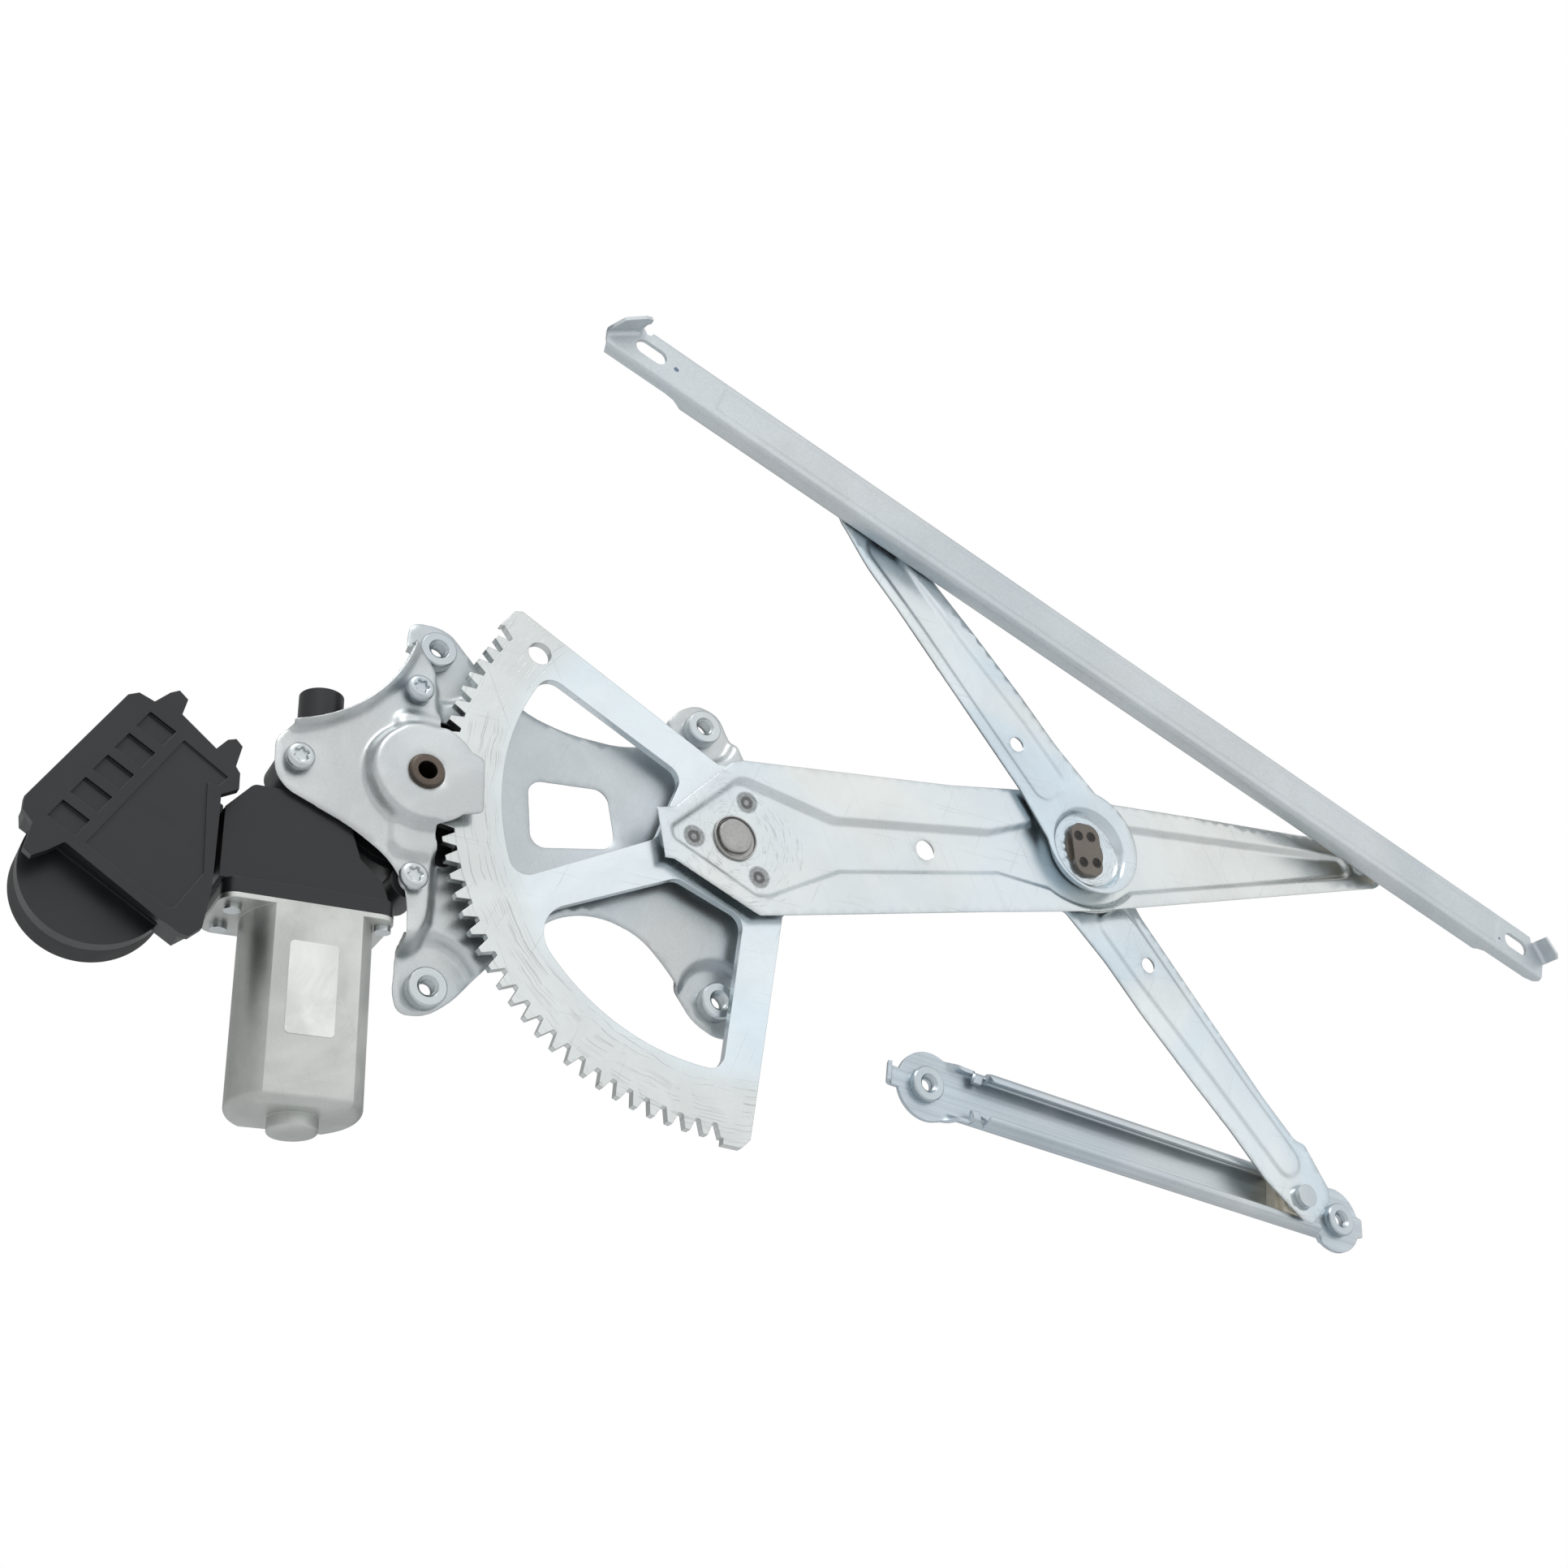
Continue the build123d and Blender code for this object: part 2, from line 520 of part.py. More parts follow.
with BuildPart() as gear_cover:
    with BuildSketch(motor_face(COVER_BACK)):
        Circle(CHAMBER_R)
    extrude(amount=COVER_THICK)
    with BuildSketch(motor_face(COVER_BACK)):
        Circle(SHAFT_BOSS_R)
    extrude(amount=SHAFT_BOSS_FRONT - COVER_BACK)
    with BuildSketch(motor_face(COVER_BACK)):
        Circle(OUTPUT_R + RUN_FIT)
    extrude(amount=SHAFT_BOSS_FRONT - COVER_BACK, mode=Mode.SUBTRACT)

with BuildPart() as thrust_plug:
    with BuildSketch(across_motor(TUBE_START)):
        Circle(PLUG_R)
    extrude(amount=PLUG_LONG)

with BuildPart() as motor_can:
    with BuildSketch(across_motor(CAN_START)):
        with Locations((FLANGE_SHIFT, 0)):
            RectangleRounded(FLANGE_WIDE, 2 * CAN_FLAT, 5.0)
    extrude(amount=CAN_WALL)
    with BuildSketch(across_motor(CAN_START)):
        Circle(CAN_R)
        Rectangle(2 * CAN_R + 1, 2 * CAN_FLAT, mode=Mode.INTERSECT)
    extrude(amount=CAN_END - CAN_START)
    fillet(motor_can.faces().sort_by(Axis((0, 0, 0), across_motor(0).z_dir))[-1].edges(), radius=3.0)
    with BuildSketch(across_motor(CAN_END)):
        Circle(CAN_BOSS_R)
    extrude(amount=CAN_BOSS_HIGH)
    fillet(motor_can.faces().sort_by(Axis((0, 0, 0), across_motor(0).z_dir))[-1].edges(), radius=1.5)
    with BuildSketch(across_motor(CAN_START)):
        Circle(CAN_R - CAN_WALL)
        Rectangle(2 * CAN_R + 1, 2 * (CAN_FLAT - CAN_WALL), mode=Mode.INTERSECT)
    extrude(amount=CAN_END - CAN_START - CAN_WALL, mode=Mode.SUBTRACT)
    with BuildSketch(across_motor(CAN_START)):
        Circle(CAN_BOSS_R - CAN_WALL)
    extrude(amount=CAN_END - CAN_START + CAN_BOSS_HIGH - CAN_WALL, mode=Mode.SUBTRACT)
    with BuildSketch(across_motor(CAN_START)):
        with Locations(*CAN_SCREWS):
            Circle(CAN_SCREW_R)
    extrude(amount=CAN_WALL, mode=Mode.SUBTRACT)

with BuildPart() as can_bush:
    with BuildSketch(across_motor(CAN_END - CAN_WALL)):
        Circle(CAN_BOSS_R - CAN_WALL)
        Circle(SHAFT_R + RUN_FIT, mode=Mode.SUBTRACT)
    extrude(amount=CAN_BOSS_HIGH - 1.0)

with BuildPart() as can_screws:
    with BuildSketch(across_motor(CAN_START - FLANGE_THICK)):
        with Locations(*CAN_SCREWS):
            Circle(CAN_SCREW_R)
    extrude(amount=FLANGE_THICK + CAN_WALL)
    with BuildSketch(across_motor(CAN_START + CAN_WALL)):
        with Locations(*CAN_SCREWS):
            Circle(CAN_SCREW_HEAD_R)
    extrude(amount=1.8)

with BuildPart() as can_label:
    with BuildSketch(motor_face(AXIS_H + CAN_FLAT)):
        with Locations((LABEL_MIDDLE, -WORM_OFFSET - 1.0)):
            RectangleRounded(LABEL_LONG, LABEL_WIDE, 1.5)
    extrude(amount=0.12)

with BuildPart() as motor_magnets:
    with BuildSketch(across_motor(MAGNET_START)):
        Circle(CAN_R - CAN_WALL)
        Circle(MAGNET_IN_R, mode=Mode.SUBTRACT)
        Rectangle(2 * CAN_R, 2 * (CAN_FLAT - CAN_WALL) - 5.0, mode=Mode.INTERSECT)
    extrude(amount=MAGNET_LONG)

with BuildPart() as brush_holder:
    with BuildSketch(across_motor(CAN_START)):
        Circle(CAN_R - CAN_WALL)
        Rectangle(2 * CAN_R + 1, 2 * (CAN_FLAT - CAN_WALL), mode=Mode.INTERSECT)
        Circle(SHAFT_R + 1.0, mode=Mode.SUBTRACT)
    extrude(amount=BRUSH_PLATE)
    with BuildSketch(across_motor(CAN_START + BRUSH_PLATE)):
        with Locations((BRUSH_PLACE, 0), (-BRUSH_PLACE, 0)):
            Rectangle(BRUSH_LONG, BRUSH_WIDE)
    extrude(amount=BRUSH_WIDE)

# ---- rotor: worm shaft, laminated core and commutator -------------------------------
with BuildPart() as armature_shaft:
    with BuildSketch(across_motor(TUBE_START + PLUG_LONG + 0.1)):
        Circle(SHAFT_R)
    extrude(amount=CAN_END + 1.5 - TUBE_START - PLUG_LONG)
    with BuildSketch(across_motor(-WORM_LONG / 2)):
        Circle(WORM_R)
    extrude(amount=WORM_LONG)

with BuildPart() as armature_core:
    with BuildSketch(across_motor(MAGNET_START + 2.0)):
        Circle(CORE_R)
        Circle(SHAFT_R, mode=Mode.SUBTRACT)
        with PolarLocations(CORE_R, 8):
            Rectangle(9.0, 2.0, mode=Mode.SUBTRACT)
    extrude(amount=MAGNET_LONG - 4.0)

with BuildPart() as commutator:
    with BuildSketch(across_motor(CAN_START + 3.5)):
        Circle(COMMUTATOR_R)
        Circle(SHAFT_R, mode=Mode.SUBTRACT)
    extrude(amount=9.0)

# ---- drive gear: sintered pinion and plastic worm wheel ---------------------------------
with BuildPart() as drive_pinion:
    with BuildSketch(motor_face(WHEEL_BACK - SHAFT_DEEP + FACE_PLAY)):
        Circle(OUTPUT_R)
    extrude(amount=PINION_BACK - WHEEL_BACK + SHAFT_DEEP - FACE_PLAY)
    with BuildSketch(facing(PINION_X, PINION_Z, PINION_BACK, PINION_PHASE)):
        Circle(PINION_ROOT_R)
        with PolarLocations(0, PINION_TEETH):
            Polygon(*tooth_side(1), *tooth_side(-1)[::-1], align=None)
    extrude(amount=PINION_LONG)
    with BuildSketch(motor_face(PINION_BACK + PINION_LONG)):
        Circle(JOURNAL_R)
    extrude(amount=DOME_BACK + SHEET - PINION_BACK - PINION_LONG)
    with BuildSketch(motor_face(PINION_BACK - PINION_BORE_DEEP)):
        Circle(PINION_BORE_R)
    extrude(amount=DOME_BACK + SHEET - PINION_BACK + PINION_BORE_DEEP, mode=Mode.SUBTRACT)

with BuildPart() as worm_wheel:
    with BuildSketch(motor_face(WHEEL_BACK)):
        Circle(WHEEL_TIP_R)
        Circle(OUTPUT_R, mode=Mode.SUBTRACT)
    extrude(amount=WHEEL_THICK)
    with BuildSketch(motor_face(WHEEL_BACK + 5.0)):
        Circle(WHEEL_TIP_R - 4.0)
        Circle(OUTPUT_R + 4.5, mode=Mode.SUBTRACT)
    extrude(amount=WHEEL_THICK, mode=Mode.SUBTRACT)

# ---- control unit: flat plastic box on the housing's shelf ----------------------------------
cover_outline = [
    (-25.0, 26.2), (-23.1, 29.0), (-18.1, 29.8), (-16.7, 35.4), (-15.2, 38.0), (-11.5, 37.3), (-9.7, 32.1),
    (4.4, 30.1), (5.1, 34.9), (6.8, 36.9), (9.7, 36.1), (12.2, 29.4), (14.5, 28.4), (17.4, 24.0),
    (14.5, 19.0), (19.1, 11.8), (30.6, -6.9), (35.9, -18.5), (34.6, -23.0), (31.9, -24.0), (28.1, -24.0),
    (25.2, -24.3), (-8.3, -23.0), (-10.2, -28.0), (-12.3, -32.2), (-15.4, -31.8), (-18.5, -24.1),
    (-23.1, -22.6), (-25.1, -19.4),
]
case_outline = [
    (-24.4, 27.0), (3.0, 29.0), (13.5, 27.4), (15.0, 18.2), (29.5, -6.0), (34.0, -17.0), (32.0, -22.4),
    (-22.0, -21.8), (-24.4, -19.0),
]
PLUG_X = 3.2
PLUG_Z = -19.7
GASKET_R = 22.3
SHROUD_R = 19.8
SHROUD_WALL = 2.2
SHROUD_BACK = -6.0

with BuildPart() as ecu_case:
    with BuildSketch(facing(ECU_X, ECU_Z, ECU_BACK, ECU_TURN)) as case_shape:
        Polygon(*case_outline, align=None)
    extrude(amount=ECU_SPLIT - ECU_BACK)
    with BuildSketch(facing(ECU_X, ECU_Z, ECU_BACK + ECU_WALL, ECU_TURN)):
        add(case_shape.sketch_local)
        offset(amount=-ECU_WALL, kind=Kind.INTERSECTION)
    extrude(amount=ECU_SPLIT - ECU_BACK, mode=Mode.SUBTRACT)
    with BuildSketch(facing(ECU_X, ECU_Z, SHROUD_BACK, ECU_TURN)):
        with Locations((PLUG_X, PLUG_Z)):
            Circle(SHROUD_R)
            Circle(SHROUD_R - SHROUD_WALL, mode=Mode.SUBTRACT)
    extrude(amount=ECU_BACK - SHROUD_BACK)
    with BuildSketch(facing(ECU_X, ECU_Z, ECU_BACK, ECU_TURN)):
        with Locations((PLUG_X, PLUG_Z)):
            Circle(GASKET_R)
        add(case_shape.sketch_local, mode=Mode.SUBTRACT)
    extrude(amount=ECU_SPLIT - ECU_BACK - 6.0)
    with BuildSketch(facing(ECU_X, ECU_Z, ECU_BACK, ECU_TURN)):
        with Locations((PLUG_X, PLUG_Z)):
            with GridLocations(PIN_PITCH_X, PIN_PITCH_Z, PIN_COLUMNS, PIN_ROWS):
                Rectangle(PIN_THICK, PIN_THICK)
    extrude(amount=ECU_WALL, mode=Mode.SUBTRACT)

with BuildPart() as ecu_cover:
    with BuildSketch(facing(ECU_X, ECU_Z, ECU_SPLIT, ECU_TURN)):
        Polygon(*cover_outline, align=None)
    extrude(amount=ECU_FRONT - ECU_SPLIT)
    with BuildSketch(facing(ECU_X, ECU_Z, ECU_FRONT - 0.8, ECU_TURN)):
        Polygon((-4.1, 25.6), (12.7, 24.9), (12.4, 21.0), (9.3, 19.3), (26.1, -4.8), (26.3, -18.8),
                (24.8, -20.1), (-4.1, -19.5), align=None)
    extrude(amount=0.8, mode=Mode.SUBTRACT)
    with BuildSketch(facing(ECU_X, ECU_Z, ECU_FRONT - 1.4, ECU_TURN)):
        with Locations((-12.2, 3.2)):
            with GridLocations(1.0, 9.85, 1, 5):
                Rectangle(9.4, 6.7)
    extrude(amount=1.4, mode=Mode.SUBTRACT)

with BuildPart() as circuit_board:
    with BuildSketch(facing(ECU_X, ECU_Z, ECU_BACK + ECU_WALL, ECU_TURN)):
        add(case_shape.sketch_local)
        offset(amount=-ECU_WALL - GAP, kind=Kind.INTERSECTION)
    extrude(amount=1.6)

with BuildPart() as connector_pins:
    with BuildSketch(facing(ECU_X, ECU_Z, ECU_BACK - PIN_OUT, ECU_TURN)):
        with Locations((PLUG_X, PLUG_Z)):
            with GridLocations(PIN_PITCH_X, PIN_PITCH_Z, PIN_COLUMNS, PIN_ROWS):
                Rectangle(PIN_THICK, PIN_THICK)
    extrude(amount=PIN_OUT + ECU_WALL)

with BuildPart() as connector_gasket:
    with BuildSketch(facing(ECU_X, ECU_Z, SHROUD_BACK, ECU_TURN)):
        with Locations((PLUG_X, PLUG_Z)):
            Circle(GASKET_R)
            Circle(SHROUD_R, mode=Mode.SUBTRACT)
    extrude(amount=ECU_BACK - SHROUD_BACK)

# ---- sector gear: flat toothed plate welded behind the lift arm -------------------------------
with BuildPart() as sector_gear:
    with BuildSketch(facing(0, 0, SECTOR_BACK)):
        with BuildLine():
            rim = ThreePointArc(polar(SECTOR_TIP_R, 288.6), polar(SECTOR_TIP_R, 227), polar(SECTOR_TIP_R, 165.6))
            top = Polyline(rim @ 1, (-105.6, 26.7), (-103.6, 34.7), (-101.0, 36.5), (-15.2, 25.1))
            hub = ThreePointArc(top @ 1, (20.0, 21.0), (27.2, -16.5))
            Polyline(hub @ 1, (43.1, -97.3), (41.1, -101.4), (34.6, -103.4), rim @ 0)
        make_face()
        with PolarLocations(0, GAP_COUNT, start_angle=FIRST_GAP, angular_range=LAST_GAP - FIRST_GAP, endpoint=True):
            Polygon(
                (SECTOR_ROOT_R, -GAP_HALF + 1.25 * MODULE * tan(radians(PRESSURE))),
                (SECTOR_TIP_R + 1.0, -GAP_HALF - (MODULE + 1.0) * tan(radians(PRESSURE))),
                (SECTOR_TIP_R + 1.0, GAP_HALF + (MODULE + 1.0) * tan(radians(PRESSURE))),
                (SECTOR_ROOT_R, GAP_HALF - 1.25 * MODULE * tan(radians(PRESSURE))),
                align=None,
                mode=Mode.SUBTRACT,
            )
        Circle(RIVET_R + RUN_FIT, mode=Mode.SUBTRACT)
        with Locations((-89.1, 25.0)):
            Circle(4.25, mode=Mode.SUBTRACT)
    extrude(amount=SECTOR_THICK)
    with BuildSketch(facing(0, 0, SECTOR_BACK)) as upper_window:
        with BuildLine():
            side = Polyline((-83.3, 19.2), (-25.4, 12.8), (-25.4, -15.8), (-62.9, -57.6))
            ThreePointArc(side @ 1, polar(85.5, 194), side @ 0)
        make_face()
        fillet(upper_window.vertices(), radius=6)
    extrude(amount=SECTOR_THICK, mode=Mode.SUBTRACT)
    with BuildSketch(facing(0, 0, SECTOR_BACK)) as lower_window:
        with BuildLine():
            side = Polyline((-54.1, -66.3), (-13.2, -25.0), (14.2, -25.0), (26.0, -80.4))
            ThreePointArc(side @ 1, polar(85.6, 259), side @ 0)
        make_face()
        fillet(lower_window.vertices().sort_by(Axis.X)[0], radius=11)
        fillet(lower_window.vertices().sort_by(Axis.X)[-3:], radius=6)
    extrude(amount=SECTOR_THICK, mode=Mode.SUBTRACT)

# ---- lift arm: one long pressing, its panel welded to the sector ------------------------------
with BuildPart() as lift_arm:
    with BuildSketch(facing(0, 0, LIFT_RIM_BACK, REST_ANGLE)):
        with BuildLine():
            edge = Polyline(
                (2 * LINK, -12.2), (174.0, -23.7), (150.0, -25.4), (102.0, -26.5), (11.7, -29.3), (3.0, -29.5),
                (-26.5, -9.5), (-30.0, -9.0), (-30.0, 9.6), (-22.9, 10.0), (3.3, 28.5), (8.0, 29.4),
                (98.0, 24.9), (130.6, 24.9), (176.0, 21.0), (224.5, 16.9), (280.0, 11.7), (2 * LINK, 10.5),
            )
            ThreePointArc(edge @ 1, (2 * LINK + 12.0, -1.0), edge @ 0)
        make_face()
    extrude(amount=SHEET)
    with BuildSketch(facing(0, 0, PANEL_BACK, REST_ANGLE)) as lift_panel:
        with BuildLine():
            lower = Polyline((176.0, -17.0), (300.0, -6.8))
            end = ThreePointArc(lower @ 1, (304.6, -2.4), (300.0, 2.0))
            upper = Polyline(end @ 1, (178.0, 11.0))
            disc = ThreePointArc(upper @ 1, (LINK, 23.0), (135.0, 11.0))
            neck = Polyline(disc @ 1, (112.0, 6.3), (42.0, 8.0), (8.0, 21.5), (4.0, 21.5), (-25.0, 3.0),
                            (-25.0, -1.0), (4.0, -21.8), (9.0, -21.8), (40.0, -11.8), (112.0, -10.2), (135.0, -16.0))
            ThreePointArc(neck @ 1, (LINK, -23.5), lower @ 0)
        make_face()
    extrude(amount=LIFT_RIM_FRONT - PANEL_BACK, mode=Mode.SUBTRACT)
    with BuildSketch(facing(0, 0, PANEL_BACK, REST_ANGLE)):
        add(lift_panel.sketch_local)
        offset(amount=SLOPE_WALL, kind=Kind.INTERSECTION)
    extrude(amount=LIFT_RIM_FRONT - PANEL_BACK)
    with BuildSketch(facing(0, 0, PANEL_BACK + SHEET, REST_ANGLE)):
        add(lift_panel.sketch_local)
    extrude(amount=LIFT_RIM_FRONT - PANEL_BACK, mode=Mode.SUBTRACT)
    with BuildSketch(facing(0, 0, PANEL_BACK, REST_ANGLE)):
        Circle(RIVET_R + RUN_FIT)
        with Locations(LIFT_HOLE):
            Circle(LIFT_HOLE_R)
        with Locations((LINK, 0)):
            Circle(CROSS_R + RUN_FIT)
        with Locations((2 * LINK, 0)):
            Circle(STUD_R)
    extrude(amount=LIFT_RIM_FRONT - PANEL_BACK, mode=Mode.SUBTRACT)

with BuildPart() as lift_pin:
    with BuildSketch(facing(2 * CROSS_X, 2 * CROSS_Z, LIFT_RIM_BACK)):
        Circle(STUD_R)
    extrude(amount=SLIDER_FRONT - LIFT_RIM_BACK)
    with BuildSketch(facing(2 * CROSS_X, 2 * CROSS_Z, LIFT_RIM_FRONT)):
        Circle(STUD_R + 2.0)
    extrude(amount=1.2)

# ---- equalizer arm: two pressings keyed together through the lift arm ------------------------
# both halves are nearly one outline, turned by half a circle about the pivot
upper_side = [(12.0, 16.3), (35.0, 13.8), (119.0, 13.8), (139.0, 14.6), (LINK, 12.6)]
upper_side_rounds = [20.0, 30.0, 60.0]
upper_other_side = [(LINK, -11.6), (120.0, -11.7), (96.0, -14.0), (64.0, -16.2), (40.0, -16.8), (16.0, -20.0)]
lower_side = [(12.0, 16.3), (35.0, 12.9), (119.0, 12.8), (139.0, 14.0)]
lower_side_rounds = [20.0, 30.0]
lower_other_side = [(120.0, -12.4), (96.0, -14.6), (64.0, -16.9), (40.0, -17.3), (16.0, -20.0)]
other_side_rounds = [100.0, 100.0, 100.0, 60.0]
HUB_R = 20.5
HUB_RECESS_R = 16.0
ARM_END_R = 13.0
BEAD_START = 24.0
BEAD_END = 148.5
bead_outline = [
    (BEAD_START, 7.6), (110.0, 8.0), (BEAD_END, 9.6), (BEAD_END, -2.8), (98.0, -5.7), (52.0, -9.3),
    (BEAD_START, -10.0),
]
bead_rounds = [6.0, 200.0, 5.8, 5.8, 80.0, 60.0, 6.0]
# free end of the lower half, with the edge strip that is turned back beside its pin
lower_end = [(143.4, 17.0), (161.8, 14.3), (165.4, 11.2), (166.9, -4.2), (163.8, -6.8), (142.5, -11.6)]
lower_end_rounds = [5.0, 2.0, 3.0, 2.0, 2.5, 2.0, 20.0]

with BuildPart() as equalizer_upper_arm:
    with BuildSketch(facing(CROSS_X, CROSS_Z, UPPER_FLOOR_BACK + BEAD, 180.0 - REST_ANGLE)):
        with BuildLine():
            side = FilletPolyline(*upper_side, radius=upper_side_rounds)
            other = FilletPolyline(*upper_other_side, radius=other_side_rounds)
            ThreePointArc(other @ 1, (-HUB_R, -3.0), side @ 0)
            ThreePointArc(side @ 1, (LINK + ARM_END_R, 0.5), other @ 0)
        make_face()
    extrude(amount=SHEET)
    with BuildSketch(facing(CROSS_X, CROSS_Z, UPPER_FLOOR_BACK, 180.0 - REST_ANGLE)) as upper_bead:
        with BuildLine():
            FilletPolyline(*bead_outline, radius=bead_rounds, close=True)
        make_face()
    extrude(amount=BEAD + SHEET, mode=Mode.SUBTRACT)
    with BuildSketch(facing(CROSS_X, CROSS_Z, UPPER_FLOOR_BACK, 180.0 - REST_ANGLE)):
        add(upper_bead.sketch_local)
        offset(amount=SLOPE_WALL)
    extrude(amount=BEAD + SHEET)
    with BuildSketch(facing(CROSS_X, CROSS_Z, UPPER_FLOOR_BACK + SHEET, 180.0 - REST_ANGLE)):
        add(upper_bead.sketch_local)
    extrude(amount=BEAD, mode=Mode.SUBTRACT)
    with BuildSketch(facing(CROSS_X, CROSS_Z, HUB_BACK)):
        Circle(HUB_RECESS_R + SHEET)
    extrude(amount=UPPER_FLOOR_BACK + BEAD + SHEET - HUB_BACK)
    with BuildSketch(facing(CROSS_X, CROSS_Z, HUB_BACK + SHEET)):
        Circle(HUB_RECESS_R)
    extrude(amount=UPPER_FLOOR_BACK + BEAD + SHEET - HUB_BACK, mode=Mode.SUBTRACT)
    with BuildSketch(facing(CROSS_X, CROSS_Z, HUB_BACK, 180.0 - REST_ANGLE)):
        Circle(CROSS_R)
        with Locations((49.2, 0.4)):
            Circle(ARM_HOLE_R)
        with Locations((LINK, 0)):
            Circle(STUD_R)
    extrude(amount=UPPER_FLOOR_BACK + BEAD + SHEET - HUB_BACK, mode=Mode.SUBTRACT)

with BuildPart() as equalizer_lower_arm:
    with BuildSketch(facing(CROSS_X, CROSS_Z, LOWER_RIM_BACK, -REST_ANGLE)):
        with BuildLine():
            rounds = [*lower_side_rounds, *lower_end_rounds, *other_side_rounds]
            edge = FilletPolyline(*lower_side, *lower_end, *lower_other_side, radius=rounds)
            ThreePointArc(edge @ 1, (-HUB_R, -3.0), edge @ 0)
        make_face()
    extrude(amount=SHEET)
    with BuildSketch(facing(CROSS_X, CROSS_Z, LOWER_RIM_BACK, -REST_ANGLE)) as lower_bead:
        with BuildLine():
            FilletPolyline(*bead_outline, radius=bead_rounds, close=True)
        make_face()
    extrude(amount=BEAD + SHEET)
    with BuildSketch(facing(CROSS_X, CROSS_Z, LOWER_RIM_BACK, -REST_ANGLE)):
        add(lower_bead.sketch_local)
        offset(amount=-SLOPE_WALL)
    extrude(amount=BEAD, mode=Mode.SUBTRACT)
    with BuildSketch(facing(CROSS_X, CROSS_Z, LOWER_RIM_BACK)):
        Circle(HUB_RECESS_R + SHEET)
    extrude(amount=LOWER_HUB_BACK + SHEET - LOWER_RIM_BACK)
    with BuildSketch(facing(CROSS_X, CROSS_Z, LOWER_RIM_BACK)):
        Circle(HUB_RECESS_R)
    extrude(amount=LOWER_HUB_BACK - LOWER_RIM_BACK, mode=Mode.SUBTRACT)
    with BuildSketch(facing(CROSS_X, CROSS_Z, LOWER_RIM_BACK, -REST_ANGLE)):
        Circle(CROSS_R)
        with Locations((50.8, 0.1)):
            Circle(ARM_HOLE_R)
        with Locations((LINK, 0)):
            Circle(STUD_R)
    extrude(amount=LOWER_HUB_BACK + SHEET - LOWER_RIM_BACK, mode=Mode.SUBTRACT)

with BuildPart() as cross_pivot:
    with BuildSketch(facing(CROSS_X, CROSS_Z, LOWER_HUB_BACK)):
        Circle(CROSS_R)
    extrude(amount=HUB_BACK + SHEET - LOWER_HUB_BACK)
    with BuildSketch(facing(CROSS_X, CROSS_Z, HUB_BACK + SHEET, KEY_TURN)):
        RectangleRounded(KEY_LONG, KEY_WIDE, 5.0)
    extrude(amount=KEY_HIGH)
    with BuildSketch(facing(CROSS_X, CROSS_Z, LOWER_HUB_BACK - 1.5)):
        Circle(CROSS_R + 3.0)
    extrude(amount=1.5)

with BuildPart() as upper_pin:
    with BuildSketch(facing(0, RAIL_Z, UPPER_FLOOR_BACK + BEAD)):
        Circle(STUD_R)
    extrude(amount=SLIDER_FRONT - UPPER_FLOOR_BACK - BEAD)

with BuildPart() as lower_pin:
    with BuildSketch(facing(SPREAD, 0, GUIDE_SLIDER_BACK + 1.0)):
        Circle(STUD_R)
    extrude(amount=LOWER_RIM_BACK + SHEET - GUIDE_SLIDER_BACK - 1.0)
    with BuildSketch(facing(SPREAD, 0, LOWER_RIM_BACK + SHEET)):
        Circle(STUD_R + 0.4)
    extrude(amount=PIN_HEAD_RISE)

# ---- sliders: plastic shoes with a neck between the rail's lips ------------------------------
with BuildPart() as lift_slider:
    with BuildSketch(facing(2 * CROSS_X, RAIL_Z, SLIDER_BACK)):
        RectangleRounded(SLIDER_LONG, SLIDER_HIGH, 2.0)
    extrude(amount=SLIDER_FRONT - SLIDER_BACK)
    with BuildSketch(facing(2 * CROSS_X, RAIL_Z, NECK_BACK)):
        Rectangle(SLIDER_LONG - SLIDER_STEP, GLASS_LIP_SLOT - 2 * SLIDER_AIR)
    extrude(amount=SLIDER_BACK - NECK_BACK)
    with BuildSketch(facing(2 * CROSS_X, RAIL_Z, NECK_BACK)):
        Circle(STUD_R + RUN_FIT)
    extrude(amount=SLIDER_FRONT - NECK_BACK, mode=Mode.SUBTRACT)

with BuildPart() as upper_slider:
    with BuildSketch(facing(0, RAIL_Z, SLIDER_BACK)):
        RectangleRounded(SLIDER_LONG, SLIDER_HIGH, 2.0)
    extrude(amount=SLIDER_FRONT - SLIDER_BACK)
    with BuildSketch(facing(0, RAIL_Z, NECK_BACK)):
        Rectangle(SLIDER_LONG - SLIDER_STEP, GLASS_LIP_SLOT - 2 * SLIDER_AIR)
    extrude(amount=SLIDER_BACK - NECK_BACK)
    with BuildSketch(facing(0, RAIL_Z, NECK_BACK)):
        Circle(STUD_R + RUN_FIT)
    extrude(amount=SLIDER_FRONT - NECK_BACK, mode=Mode.SUBTRACT)

